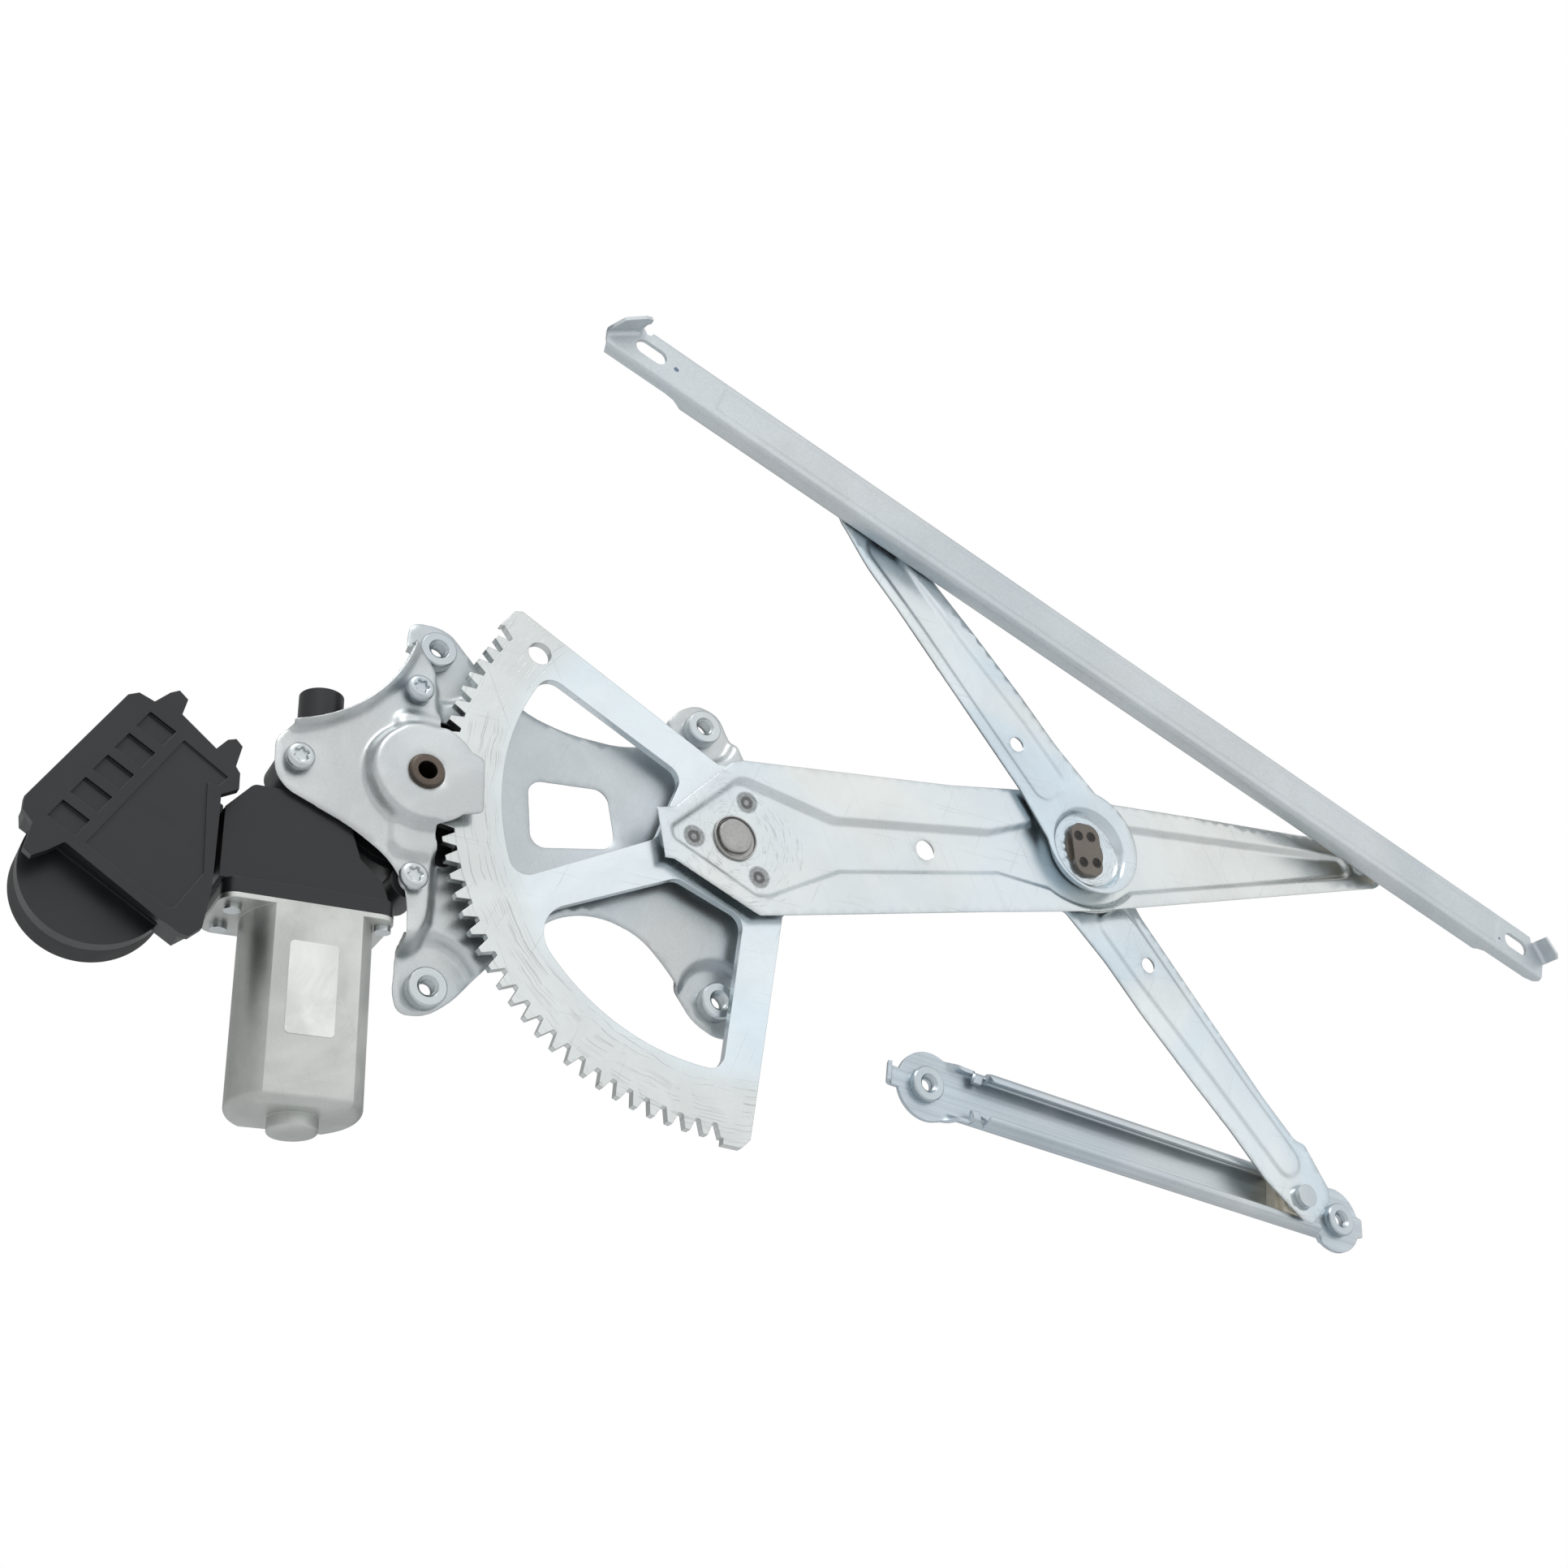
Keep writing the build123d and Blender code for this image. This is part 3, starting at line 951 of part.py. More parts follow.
with BuildPart() as lower_slider:
    with BuildSketch(facing(SPREAD, 0, GUIDE_SLIDER_BACK, GUIDE_ANGLE)):
        RectangleRounded(GUIDE_SLIDER_LONG, SLIDER_HIGH, 2.0)
    extrude(amount=GUIDE_SLIDER_FRONT - GUIDE_SLIDER_BACK)
    with BuildSketch(facing(SPREAD, 0, GUIDE_SLIDER_FRONT, GUIDE_ANGLE)):
        Rectangle(GUIDE_SLIDER_LONG - GUIDE_SLIDER_STEP, GUIDE_LIP_SLOT - 2 * SLIDER_AIR)
    extrude(amount=GUIDE_LIP_FRONT + 1.0 - GUIDE_SLIDER_FRONT)
    with BuildSketch(facing(SPREAD, 0, GUIDE_SLIDER_BACK + 1.0, GUIDE_ANGLE)):
        Circle(STUD_R + RUN_FIT)
    extrude(amount=GUIDE_LIP_FRONT - GUIDE_SLIDER_BACK, mode=Mode.SUBTRACT)

# ---- glass rail: roll-formed channel, open towards the arms ------------------------------------
RAIL_MID = (RAIL_LEFT + RAIL_RIGHT) / 2
with BuildPart() as glass_rail:
    with BuildSketch(facing(RAIL_MID, RAIL_Z, RAIL_WEB_FRONT - END_FLANGE)):
        Rectangle(RAIL_RIGHT - RAIL_LEFT, RAIL_WIDTH)
    extrude(amount=END_FLANGE)
    with BuildSketch(facing((DEEP_LEFT + DEEP_RIGHT) / 2, RAIL_Z, RAIL_LIP_BACK)):
        Rectangle(DEEP_RIGHT - DEEP_LEFT, RAIL_WIDTH)
    extrude(amount=RAIL_WEB_FRONT - RAIL_LIP_BACK)
    with BuildSketch(facing(RAIL_MID, RAIL_Z, RAIL_LIP_BACK + RAIL_SHEET)):
        Rectangle(RAIL_RIGHT - RAIL_LEFT + 2, RAIL_WIDTH - 2 * RAIL_SHEET)
    extrude(amount=RAIL_WEB_FRONT - RAIL_LIP_BACK - 2 * RAIL_SHEET, mode=Mode.SUBTRACT)
    with BuildSketch(facing(RAIL_MID, RAIL_Z, RAIL_LIP_BACK)):
        Rectangle(RAIL_RIGHT - RAIL_LEFT + 2, GLASS_LIP_SLOT)
    extrude(amount=RAIL_SHEET, mode=Mode.SUBTRACT)
    with BuildSketch(facing(0, RAIL_Z, RAIL_LIP_BACK)):
        with Locations((GLASS_SLOT_LEFT, 0), (GLASS_SLOT_LEFT + GLASS_SLOT_PITCH, 0)):
            SlotOverall(GLASS_SLOT_LONG, GLASS_SLOT_WIDE)
    extrude(amount=RAIL_WEB_FRONT, mode=Mode.SUBTRACT)
    # lugs bent forward at both ends
    with BuildSketch(facing(RAIL_LEFT, RAIL_Z + 3.5, RAIL_WEB_FRONT - RAIL_SHEET)):
        Rectangle(RAIL_SHEET, 11.0)
    extrude(amount=LUG_HIGH)
    with BuildSketch(facing(RAIL_RIGHT, RAIL_Z, RAIL_WEB_FRONT - RAIL_SHEET)):
        Rectangle(RAIL_SHEET, 14.0)
    extrude(amount=LUG_HIGH)

# ---- guide rail: short channel that is bolted to the door ------------------------------------
GUIDE_MID = (GUIDE_LEFT + GUIDE_RIGHT) / 2
GUIDE_SPAN = GUIDE_RIGHT - GUIDE_LEFT
DISC_LEFT = GUIDE_NUT_LEFT + GUIDE_DISC_INSET
DISC_RIGHT = GUIDE_NUT_RIGHT - GUIDE_DISC_INSET
with BuildPart() as guide_rail:
    with BuildSketch(facing(SPREAD, 0, GUIDE_WEB_BACK, GUIDE_ANGLE)):
        with Locations((DISC_LEFT, 0), (DISC_RIGHT, 0)):
            Circle(GUIDE_DISC_R)
        with Locations(((DISC_LEFT + DISC_RIGHT) / 2, 0)):
            Rectangle(DISC_RIGHT - DISC_LEFT, RAIL_WIDTH)
        with Locations((GUIDE_NUT_LEFT - GUIDE_TAB_REACH / 2, 0)):
            Rectangle(GUIDE_TAB_REACH, GUIDE_TAB_WIDE)
        with Locations((GUIDE_NUT_RIGHT + GUIDE_TAB_SHORT / 2, 0)):
            Rectangle(GUIDE_TAB_SHORT, GUIDE_TAB_WIDE)
    extrude(amount=RAIL_SHEET)
    # low walls from the left disc to the lips
    with BuildSketch(facing(SPREAD, 0, GUIDE_WEB_BACK, GUIDE_ANGLE)):
        with Locations(((DISC_LEFT + GUIDE_LEFT) / 2, 0)):
            Rectangle(GUIDE_LEFT - DISC_LEFT, RAIL_WIDTH)
            Rectangle(GUIDE_LEFT - DISC_LEFT, RAIL_WIDTH - 2 * RAIL_SHEET, mode=Mode.SUBTRACT)
        with Locations((DISC_LEFT, 0)):
            Circle(GUIDE_DISC_R - RAIL_SHEET, mode=Mode.SUBTRACT)
    extrude(amount=GUIDE_END_RISE)
    # channel with its lips
    with BuildSketch(facing(SPREAD, 0, GUIDE_WEB_BACK, GUIDE_ANGLE)):
        with Locations((GUIDE_MID, 0)):
            Rectangle(GUIDE_SPAN, RAIL_WIDTH)
    extrude(amount=GUIDE_LIP_FRONT - GUIDE_WEB_BACK)
    with BuildSketch(facing(SPREAD, 0, GUIDE_WEB_BACK + RAIL_SHEET, GUIDE_ANGLE)):
        with Locations((GUIDE_MID, 0)):
            Rectangle(GUIDE_SPAN, RAIL_WIDTH - 2 * RAIL_SHEET)
    extrude(amount=GUIDE_LIP_FRONT - GUIDE_WEB_BACK - 2 * RAIL_SHEET, mode=Mode.SUBTRACT)
    with BuildSketch(facing(SPREAD, 0, GUIDE_LIP_FRONT - RAIL_SHEET, GUIDE_ANGLE)):
        with Locations((GUIDE_MID, 0)):
            Rectangle(GUIDE_SPAN, GUIDE_LIP_SLOT)
    extrude(amount=RAIL_SHEET, mode=Mode.SUBTRACT)
    # stop tabs bent in from the low walls, which keep the slider in the channel
    with BuildSketch(facing(SPREAD, 0, GUIDE_WEB_BACK + GUIDE_END_RISE - RAIL_SHEET, GUIDE_ANGLE)):
        stop_side = (RAIL_WIDTH - GUIDE_STOP_DEEP) / 2
        with Locations((GUIDE_STOP_X, stop_side), (GUIDE_STOP_X, -stop_side)):
            Rectangle(GUIDE_STOP_LONG, GUIDE_STOP_DEEP)
    extrude(amount=RAIL_SHEET)
    with BuildSketch(facing(SPREAD, 0, GUIDE_WEB_BACK, GUIDE_ANGLE)):
        with Locations((GUIDE_NUT_LEFT, 0), (GUIDE_NUT_RIGHT, 0)):
            Circle(THREAD_MINOR_R)
    extrude(amount=RAIL_SHEET, mode=Mode.SUBTRACT)

with BuildPart() as guide_rail_nuts:
    with BuildSketch(facing(SPREAD, 0, GUIDE_WEB_BACK + RAIL_SHEET, GUIDE_ANGLE)):
        with Locations((GUIDE_NUT_LEFT, 0), (GUIDE_NUT_RIGHT, 0)):
            Circle(NUT_R)
            Circle(THREAD_MINOR_R, mode=Mode.SUBTRACT)
    extrude(amount=GUIDE_NUT_HIGH)

# ---- files ------------------------------------------------------------------------------------
os.makedirs("parts", exist_ok=True)
base_plate.part.label = "base_plate"
export_step(base_plate.part, "parts/base_plate.step")
base_weld_nuts.part.label = "base_weld_nuts"
export_step(base_weld_nuts.part, "parts/base_weld_nuts.step")
pivot_rivet.part.label = "pivot_rivet"
export_step(pivot_rivet.part, "parts/pivot_rivet.step")
motor_screws.part.label = "motor_screws"
export_step(motor_screws.part, "parts/motor_screws.step")
gear_housing.part.label = "gear_housing"
export_step(gear_housing.part, "parts/gear_housing.step")
gear_cover.part.label = "gear_cover"
export_step(gear_cover.part, "parts/gear_cover.step")
thrust_plug.part.label = "thrust_plug"
export_step(thrust_plug.part, "parts/thrust_plug.step")
motor_can.part.label = "motor_can"
export_step(motor_can.part, "parts/motor_can.step")
can_bush.part.label = "can_bush"
export_step(can_bush.part, "parts/can_bush.step")
can_screws.part.label = "can_screws"
export_step(can_screws.part, "parts/can_screws.step")
can_label.part.label = "can_label"
export_step(can_label.part, "parts/can_label.step")
motor_magnets.part.label = "motor_magnets"
export_step(motor_magnets.part, "parts/motor_magnets.step")
brush_holder.part.label = "brush_holder"
export_step(brush_holder.part, "parts/brush_holder.step")
armature_shaft.part.label = "armature_shaft"
export_step(armature_shaft.part, "parts/armature_shaft.step")
armature_core.part.label = "armature_core"
export_step(armature_core.part, "parts/armature_core.step")
commutator.part.label = "commutator"
export_step(commutator.part, "parts/commutator.step")
drive_pinion.part.label = "drive_pinion"
export_step(drive_pinion.part, "parts/drive_pinion.step")
worm_wheel.part.label = "worm_wheel"
export_step(worm_wheel.part, "parts/worm_wheel.step")
ecu_case.part.label = "ecu_case"
export_step(ecu_case.part, "parts/ecu_case.step")
ecu_cover.part.label = "ecu_cover"
export_step(ecu_cover.part, "parts/ecu_cover.step")
circuit_board.part.label = "circuit_board"
export_step(circuit_board.part, "parts/circuit_board.step")
connector_pins.part.label = "connector_pins"
export_step(connector_pins.part, "parts/connector_pins.step")
connector_gasket.part.label = "connector_gasket"
export_step(connector_gasket.part, "parts/connector_gasket.step")
sector_gear.part.label = "sector_gear"
export_step(sector_gear.part, "parts/sector_gear.step")
lift_arm.part.label = "lift_arm"
export_step(lift_arm.part, "parts/lift_arm.step")
lift_pin.part.label = "lift_pin"
export_step(lift_pin.part, "parts/lift_pin.step")
equalizer_upper_arm.part.label = "equalizer_upper_arm"
export_step(equalizer_upper_arm.part, "parts/equalizer_upper_arm.step")
equalizer_lower_arm.part.label = "equalizer_lower_arm"
export_step(equalizer_lower_arm.part, "parts/equalizer_lower_arm.step")
cross_pivot.part.label = "cross_pivot"
export_step(cross_pivot.part, "parts/cross_pivot.step")
upper_pin.part.label = "upper_pin"
export_step(upper_pin.part, "parts/upper_pin.step")
lower_pin.part.label = "lower_pin"
export_step(lower_pin.part, "parts/lower_pin.step")
lift_slider.part.label = "lift_slider"
export_step(lift_slider.part, "parts/lift_slider.step")
upper_slider.part.label = "upper_slider"
export_step(upper_slider.part, "parts/upper_slider.step")
lower_slider.part.label = "lower_slider"
export_step(lower_slider.part, "parts/lower_slider.step")
glass_rail.part.label = "glass_rail"
export_step(glass_rail.part, "parts/glass_rail.step")
guide_rail.part.label = "guide_rail"
export_step(guide_rail.part, "parts/guide_rail.step")
guide_rail_nuts.part.label = "guide_rail_nuts"
export_step(guide_rail_nuts.part, "parts/guide_rail_nuts.step")
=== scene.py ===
import math
from functools import partial

import bmesh
import bpy
import numpy as np
from mathutils import Matrix, Vector
from mathutils.geometry import delaunay_2d_cdt
from mathutils.kdtree import KDTree


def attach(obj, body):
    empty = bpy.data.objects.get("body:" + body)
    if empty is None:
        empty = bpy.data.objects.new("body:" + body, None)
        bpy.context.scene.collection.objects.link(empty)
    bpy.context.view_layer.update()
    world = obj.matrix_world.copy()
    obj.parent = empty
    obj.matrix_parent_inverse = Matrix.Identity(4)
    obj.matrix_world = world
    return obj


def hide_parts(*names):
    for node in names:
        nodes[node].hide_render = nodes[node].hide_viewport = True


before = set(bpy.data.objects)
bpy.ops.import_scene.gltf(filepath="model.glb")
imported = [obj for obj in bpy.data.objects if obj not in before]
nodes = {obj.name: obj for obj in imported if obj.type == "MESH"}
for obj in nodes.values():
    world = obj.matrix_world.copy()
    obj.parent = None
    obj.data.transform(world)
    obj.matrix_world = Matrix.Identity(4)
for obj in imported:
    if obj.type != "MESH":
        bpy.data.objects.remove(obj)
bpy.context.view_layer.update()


# ---- studio: pale floor, soft light from the front and above, camera below and to the left ----
# The part hangs upright as in a door, so the floor lies well under it and the camera looks up at it.
def placed(name, data):
    """Puts a mesh, a lamp or a camera into the scene."""
    thing = bpy.data.objects.new(name, data)
    bpy.context.collection.objects.link(thing)
    return thing


def tone(red, green, blue):
    """A colour in 0 to 255 steps as the shader's linear values."""
    steps = [v / 255 for v in (red, green, blue)]
    return tuple(v / 12.92 if v <= 0.04045 else ((v + 0.055) / 1.055) ** 2.4 for v in steps) + (1.0,)


def blank(name):
    """An empty material, its node tree and the shader that feeds it."""
    material = bpy.data.materials.new(name)
    material.use_nodes = True
    return material, material.node_tree, material.node_tree.nodes["Principled BSDF"]


def made(tree, kind, fed=None, **settings):
    """A node with its settings; each of its sockets is fed a value or another node's socket."""
    node = tree.nodes.new(kind)
    for label, value in settings.items():
        setattr(node, label, value)
    for label, value in (fed or {}).items():
        if isinstance(value, bpy.types.NodeSocket):
            tree.links.new(value, node.inputs[label])
        elif value is not None:
            node.inputs[label].default_value = value
    return node


def sums(tree, operation, first, second, third=None):
    """A Math node on two or three sockets or numbers."""
    return made(tree, "ShaderNodeMath", {0: first, 1: second, 2: third}, operation=operation).outputs[0]


def ramp(tree, value, low, high, to_low=0.0, to_high=1.0):
    """A smooth step of a value."""
    fed = {"Value": value, "From Min": low, "From Max": high, "To Min": to_low, "To Max": to_high}
    return made(tree, "ShaderNodeMapRange", fed, interpolation_type="SMOOTHSTEP").outputs[0]


FLOOR_HALF, FLOOR_LEVEL = 24.0, -0.78
floor_corners = [(x, y, FLOOR_LEVEL) for x, y in ((-FLOOR_HALF, -FLOOR_HALF), (FLOOR_HALF, -FLOOR_HALF),
                                                  (FLOOR_HALF, FLOOR_HALF), (-FLOOR_HALF, FLOOR_HALF))]
floor_mesh = bpy.data.meshes.new("studio_floor")
floor_mesh.from_pydata(floor_corners, [], [(0, 1, 2, 3)])
floor_paint, tree, shader = blank("floor_paint")
shader.inputs["Base Color"].default_value = tone(240, 241, 242)
shader.inputs["Roughness"].default_value = 0.9
floor_mesh.materials.append(floor_paint)
placed("studio_floor", floor_mesh)

world = bpy.data.worlds.new("studio")
bpy.context.scene.world = world
world.use_nodes = True
tree = world.node_tree
tree.nodes.clear()
direction = made(tree, "ShaderNodeTexCoord").outputs["Generated"]
way = made(tree, "ShaderNodeSeparateXYZ", {0: direction}).outputs
front_light = ramp(tree, way["Y"], -0.95, 0.75, 1.03, 0.44)
top_light = ramp(tree, way["Z"], -0.7, 0.6, 0.66, 1.06)
strength = sums(tree, "MULTIPLY", front_light, top_light)
sky = made(tree, "ShaderNodeBackground", {"Color": (0.985, 0.993, 1.0, 1.0), "Strength": strength})
paper = made(tree, "ShaderNodeBackground", {"Color": (1.0, 1.0, 1.0, 1.0)})
rays = made(tree, "ShaderNodeLightPath").outputs
shown = {0: rays["Is Camera Ray"], 1: sky.outputs[0], 2: paper.outputs[0]}
backdrop = made(tree, "ShaderNodeMixShader", shown)
made(tree, "ShaderNodeOutputWorld", {"Surface": backdrop.outputs[0]})

lamp_place, lamp_aim = Vector((-1.5, -1.2, 1.7)), Vector((0.05, 0.0, -0.02))
lamp = bpy.data.lights.new("key_softbox", "AREA")
lamp.shape, lamp.size, lamp.energy = "SQUARE", 1.0, 14
softbox = placed("key_softbox", lamp)
softbox.location = lamp_place
softbox.rotation_euler = (lamp_aim - lamp_place).to_track_quat("-Z", "Y").to_euler()

camera = placed("camera", bpy.data.cameras.new("camera"))
bpy.context.scene.camera = camera
look = Vector((0.2525, 0.7624, 0.5959)).normalized()
up = Vector((-0.5150, -0.4154, 0.7498))
right = look.cross(up).normalized()
up = right.cross(look)
stand = Matrix((right, up, -look)).transposed().to_4x4()
stand.translation = Vector((-0.1351, -0.5228, -0.4063))
camera.matrix_world = stand
camera.data.sensor_width = 36.0
camera.data.sensor_fit = "HORIZONTAL"
camera.data.angle = math.radians(45.78)
camera.data.clip_start, camera.data.clip_end = 0.01, 90.0
bpy.context.scene.view_settings.view_transform = "Standard"


# ---- base plate: one 2 mm steel pressing, blanked, drawn up to the dome over the pinion and zinc plated ----
# It is a single sheet, so every step is a soft bend. The finish is a dull, slightly cloudy zinc, which the
# other pressings share with their own tones.
MM = 0.001
SHEET = 2.0  # gauge of the base plate and the arms
ROLL = 0.35 * MM  # rounding of a blanked edge
NOTHING = -0.9  # below this a cell of a height map is empty
BENT = 0.01  # slope from which a sheet counts as bent
COARSE = 3.5 * MM  # spacing of the points on a flat sheet


def group_of(name, inputs, values, vectors=()):
    """An empty shader group: its tree, its inputs by name, and what links a value to one of its outputs."""
    tree = bpy.data.node_groups.new(name, "ShaderNodeTree")
    for label, value in inputs.items():
        kind = "NodeSocketVector" if isinstance(value, tuple) else "NodeSocketFloat"
        tree.interface.new_socket(label, in_out="INPUT", socket_type=kind).default_value = value
    for kind, labels in (("NodeSocketFloat", values), ("NodeSocketVector", vectors)):
        for label in labels:
            tree.interface.new_socket(label, in_out="OUTPUT", socket_type=kind)
    given, done = tree.nodes.new("NodeGroupInput").outputs, tree.nodes.new("NodeGroupOutput").inputs
    return tree, given, lambda label, value: tree.links.new(value, done[label])


def noise(tree, vector, scale, detail=3.0, rough=0.55, warp=0.0):
    """A noise value round 0.5."""
    fed = {"Vector": vector, "Scale": scale, "Detail": detail, "Roughness": rough, "Distortion": warp}
    return made(tree, "ShaderNodeTexNoise", fed).outputs["Fac"]


def tools_for(tree):
    """The makers of nodes, sums, noises and smooth steps, and the place on the piece, for one tree."""
    place = made(tree, "ShaderNodeTexCoord").outputs["Object"]
    return *(partial(tool, tree) for tool in (made, sums, noise, ramp)), place


plated_skin, given, give = group_of(
    "plated_skin", {"Turn": 0.0, "Cloud": 0.5, "Grain": 0.5, "Scratch": 0.5, "Streak": 0.0, "Stain": 0.3},
    ("Shade", "Blue", "Gloss", "Height"))
node, calc, cloudy, step, place = tools_for(plated_skin)
turned = node("ShaderNodeVectorRotate", {"Vector": place, "Angle": given["Turn"]}, rotation_type="Y_AXIS")
turned = turned.outputs[0]
cloud = calc("SUBTRACT", step(cloudy(place, 24.0, 4.0, 0.6, 0.4), 0.32, 0.68), 0.5)
give("Blue", step(cloudy(place, 11.0, 2.0, 0.5, 0.8), 0.38, 0.66))
grain = calc("MULTIPLY", calc("SUBTRACT", cloudy(place, 1400.0, 2.0, 0.6), 0.5), given["Grain"])
lines = 0.0
scratch_runs = ((0.35, 1500.0, 26.0, 0.0), (1.5, 1100.0, 34.0, 3.1), (-0.8, 1700.0, 20.0, 7.7))
for angle, fine, reach, seed in scratch_runs:
    aim = {"Vector": turned, "Rotation": (0.0, angle, 0.0), "Location": (seed, seed, 0.0)}
    aimed = node("ShaderNodeMapping", aim).outputs[0]
    drawn = node("ShaderNodeMapping", {"Vector": aimed, "Scale": (reach, 300.0, fine)}).outputs[0]
    lines = calc("MAXIMUM", lines, step(cloudy(drawn, 1.0, 1.0, 0.4, 0.25), 0.70, 0.76))
scratch = calc("MULTIPLY", lines, given["Scratch"])
drawn = node("ShaderNodeMapping", {"Vector": turned, "Scale": (5.0, 500.0, 900.0)}).outputs[0]
streak = cloudy(drawn, 1.0, 3.0, 0.65)
uneven = calc("MULTIPLY", calc("SUBTRACT", streak, 0.5), given["Streak"])
stain = calc("MULTIPLY", step(cloudy(place, 75.0, 5.0, 0.7, 1.5), 0.62, 0.80), given["Stain"])
shade = calc("MULTIPLY_ADD", calc("MULTIPLY", cloud, given["Cloud"]), 0.22, 1.0)
for part, share in ((uneven, 0.9), (grain, 0.22), (scratch, -0.16), (stain, -0.14)):
    shade = calc("MULTIPLY_ADD", part, share, shade)
give("Shade", shade)
give("Gloss", calc("MULTIPLY_ADD", scratch, 0.10, calc("MULTIPLY", cloud, 0.12)))
height = calc("MULTIPLY_ADD", scratch, -0.35, grain)
give("Height", calc("MULTIPLY_ADD", calc("MULTIPLY", streak, given["Streak"]), 0.8, height))

worn_edge, given, give = group_of("worn_edge", {"Radius": 0.0004}, ("Edge",), ("Rounded",))
node, calc, cloudy, step, place = tools_for(worn_edge)
rounded = node("ShaderNodeBevel", {"Radius": given["Radius"]}, samples=6).outputs[0]
face = node("ShaderNodeNewGeometry").outputs["Normal"]
turn = node("ShaderNodeVectorMath", {0: rounded, 1: face}, operation="DOT_PRODUCT").outputs["Value"]
give("Edge", step(turn, 0.97, 0.80))
give("Rounded", rounded)


def from_centre(tree, centre, wander):
    """The distance from an axis along Y, a little uneven, and the way out from that axis."""
    node, calc, cloudy, step, place = tools_for(tree)
    away = node("ShaderNodeVectorMath", {0: place, 1: centre}, operation="SUBTRACT").outputs[0]
    flat = node("ShaderNodeVectorMath", {0: away, 1: (1.0, 0.0, 1.0)}, operation="MULTIPLY").outputs[0]
    length = node("ShaderNodeVectorMath", {0: flat}, operation="LENGTH").outputs["Value"]
    outward = node("ShaderNodeVectorMath", {0: flat}, operation="NORMALIZE").outputs[0]
    loose = calc("MULTIPLY", calc("SUBTRACT", cloudy(place, 70.0, 2.0), 0.5), wander)
    return calc("ADD", length, loose), outward


# The broken rings that a tool leaves round an axis.
turned_marks, given, give = group_of(
    "turned_marks", {"Centre": (0.0, 0.0, 0.0), "Inner": 0.0, "Outer": 0.02, "Fine": 2400.0}, ("Mark",))
node, calc, cloudy, step, place = tools_for(turned_marks)
reach, outward = from_centre(turned_marks, given["Centre"], 0.004)
out = node("ShaderNodeSeparateXYZ", {0: outward}).outputs
round_it = [calc("MULTIPLY", out[axis], 3.2) for axis in "XZ"]
outwards = calc("MULTIPLY", reach, given["Fine"])
thread = node("ShaderNodeCombineXYZ", {0: round_it[0], 1: outwards, 2: round_it[1]}).outputs[0]
line = step(cloudy(thread, 1.0, 1.0, 0.4, 0.1), 0.60, 0.68)
line = calc("MULTIPLY", line, step(cloudy(place, 130.0, 2.0, 0.6), 0.38, 0.52))
band = calc("MULTIPLY", calc("GREATER_THAN", reach, given["Inner"]), calc("LESS_THAN", reach, given["Outer"]))
give("Mark", calc("MULTIPLY", line, band))

# A soft border between two tones, at a distance from an axis.
zone_mask, given, give = group_of(
    "zone_mask", {"Centre": (0.0, 0.0, 0.0), "Near": 0.0, "Far": 0.02}, ("Share",))
reach, _ = from_centre(zone_mask, given["Centre"], 0.006)
give("Share", ramp(zone_mask, reach, given["Near"], given["Far"]))

# The burnt ring of a spot weld.
weld_spot, given, give = group_of("weld_spot", {"Centre": (0.0, 0.0, 0.0), "Radius": 0.004}, ("Burn",))
node, calc, cloudy, step, place = tools_for(weld_spot)
share = calc("DIVIDE", from_centre(weld_spot, given["Centre"], 0.0016)[0], given["Radius"])
burn = calc("MULTIPLY", step(share, 1.05, 0.85), calc("ADD", cloudy(place, 1500.0, 3.0, 0.7), 0.15))
ring = calc("MULTIPLY", step(share, 0.62, 0.46), step(share, 0.18, 0.34))
give("Burn", calc("MINIMUM", calc("MULTIPLY_ADD", ring, 0.45, burn), 1.0))


def placed_group(tree, group, **values):
    """The outputs of a group in a material, with its own values."""
    return made(tree, "ShaderNodeGroup", values, node_tree=group).outputs


def coloured(tree, factor, first, second, kind="MIX"):
    """A colour mix of two colours or sockets by a factor."""
    fed = {0: factor, 6: first, 7: second}
    return made(tree, "ShaderNodeMix", fed, data_type="RGBA", blend_type=kind).outputs[2]


def shaded(tree, base, shade):
    """A colour made darker or lighter by a value."""
    grey = made(tree, "ShaderNodeCombineColor", {0: shade, 1: shade, 2: shade}).outputs[0]
    return coloured(tree, 1.0, base, grey, "MULTIPLY")


def finished(tree, shader, base, gloss, rise, edge, rubbed, radius, bump):
    """Rubs the edges, and feeds the colour, roughness and relief to a material's shader."""
    rim = placed_group(tree, worn_edge, Radius=radius * MM)
    if edge is not None:
        base = coloured(tree, sums(tree, "MULTIPLY", rim["Edge"], rubbed), base, tone(*edge))
    fed = {"Strength": 1.0, "Distance": bump * MM, "Height": rise, "Normal": rim["Rounded"]}
    relief = made(tree, "ShaderNodeBump", fed).outputs[0]
    for label, value in (("Base Color", base), ("Roughness", gloss), ("Normal", relief)):
        tree.links.new(value, shader.inputs[label])


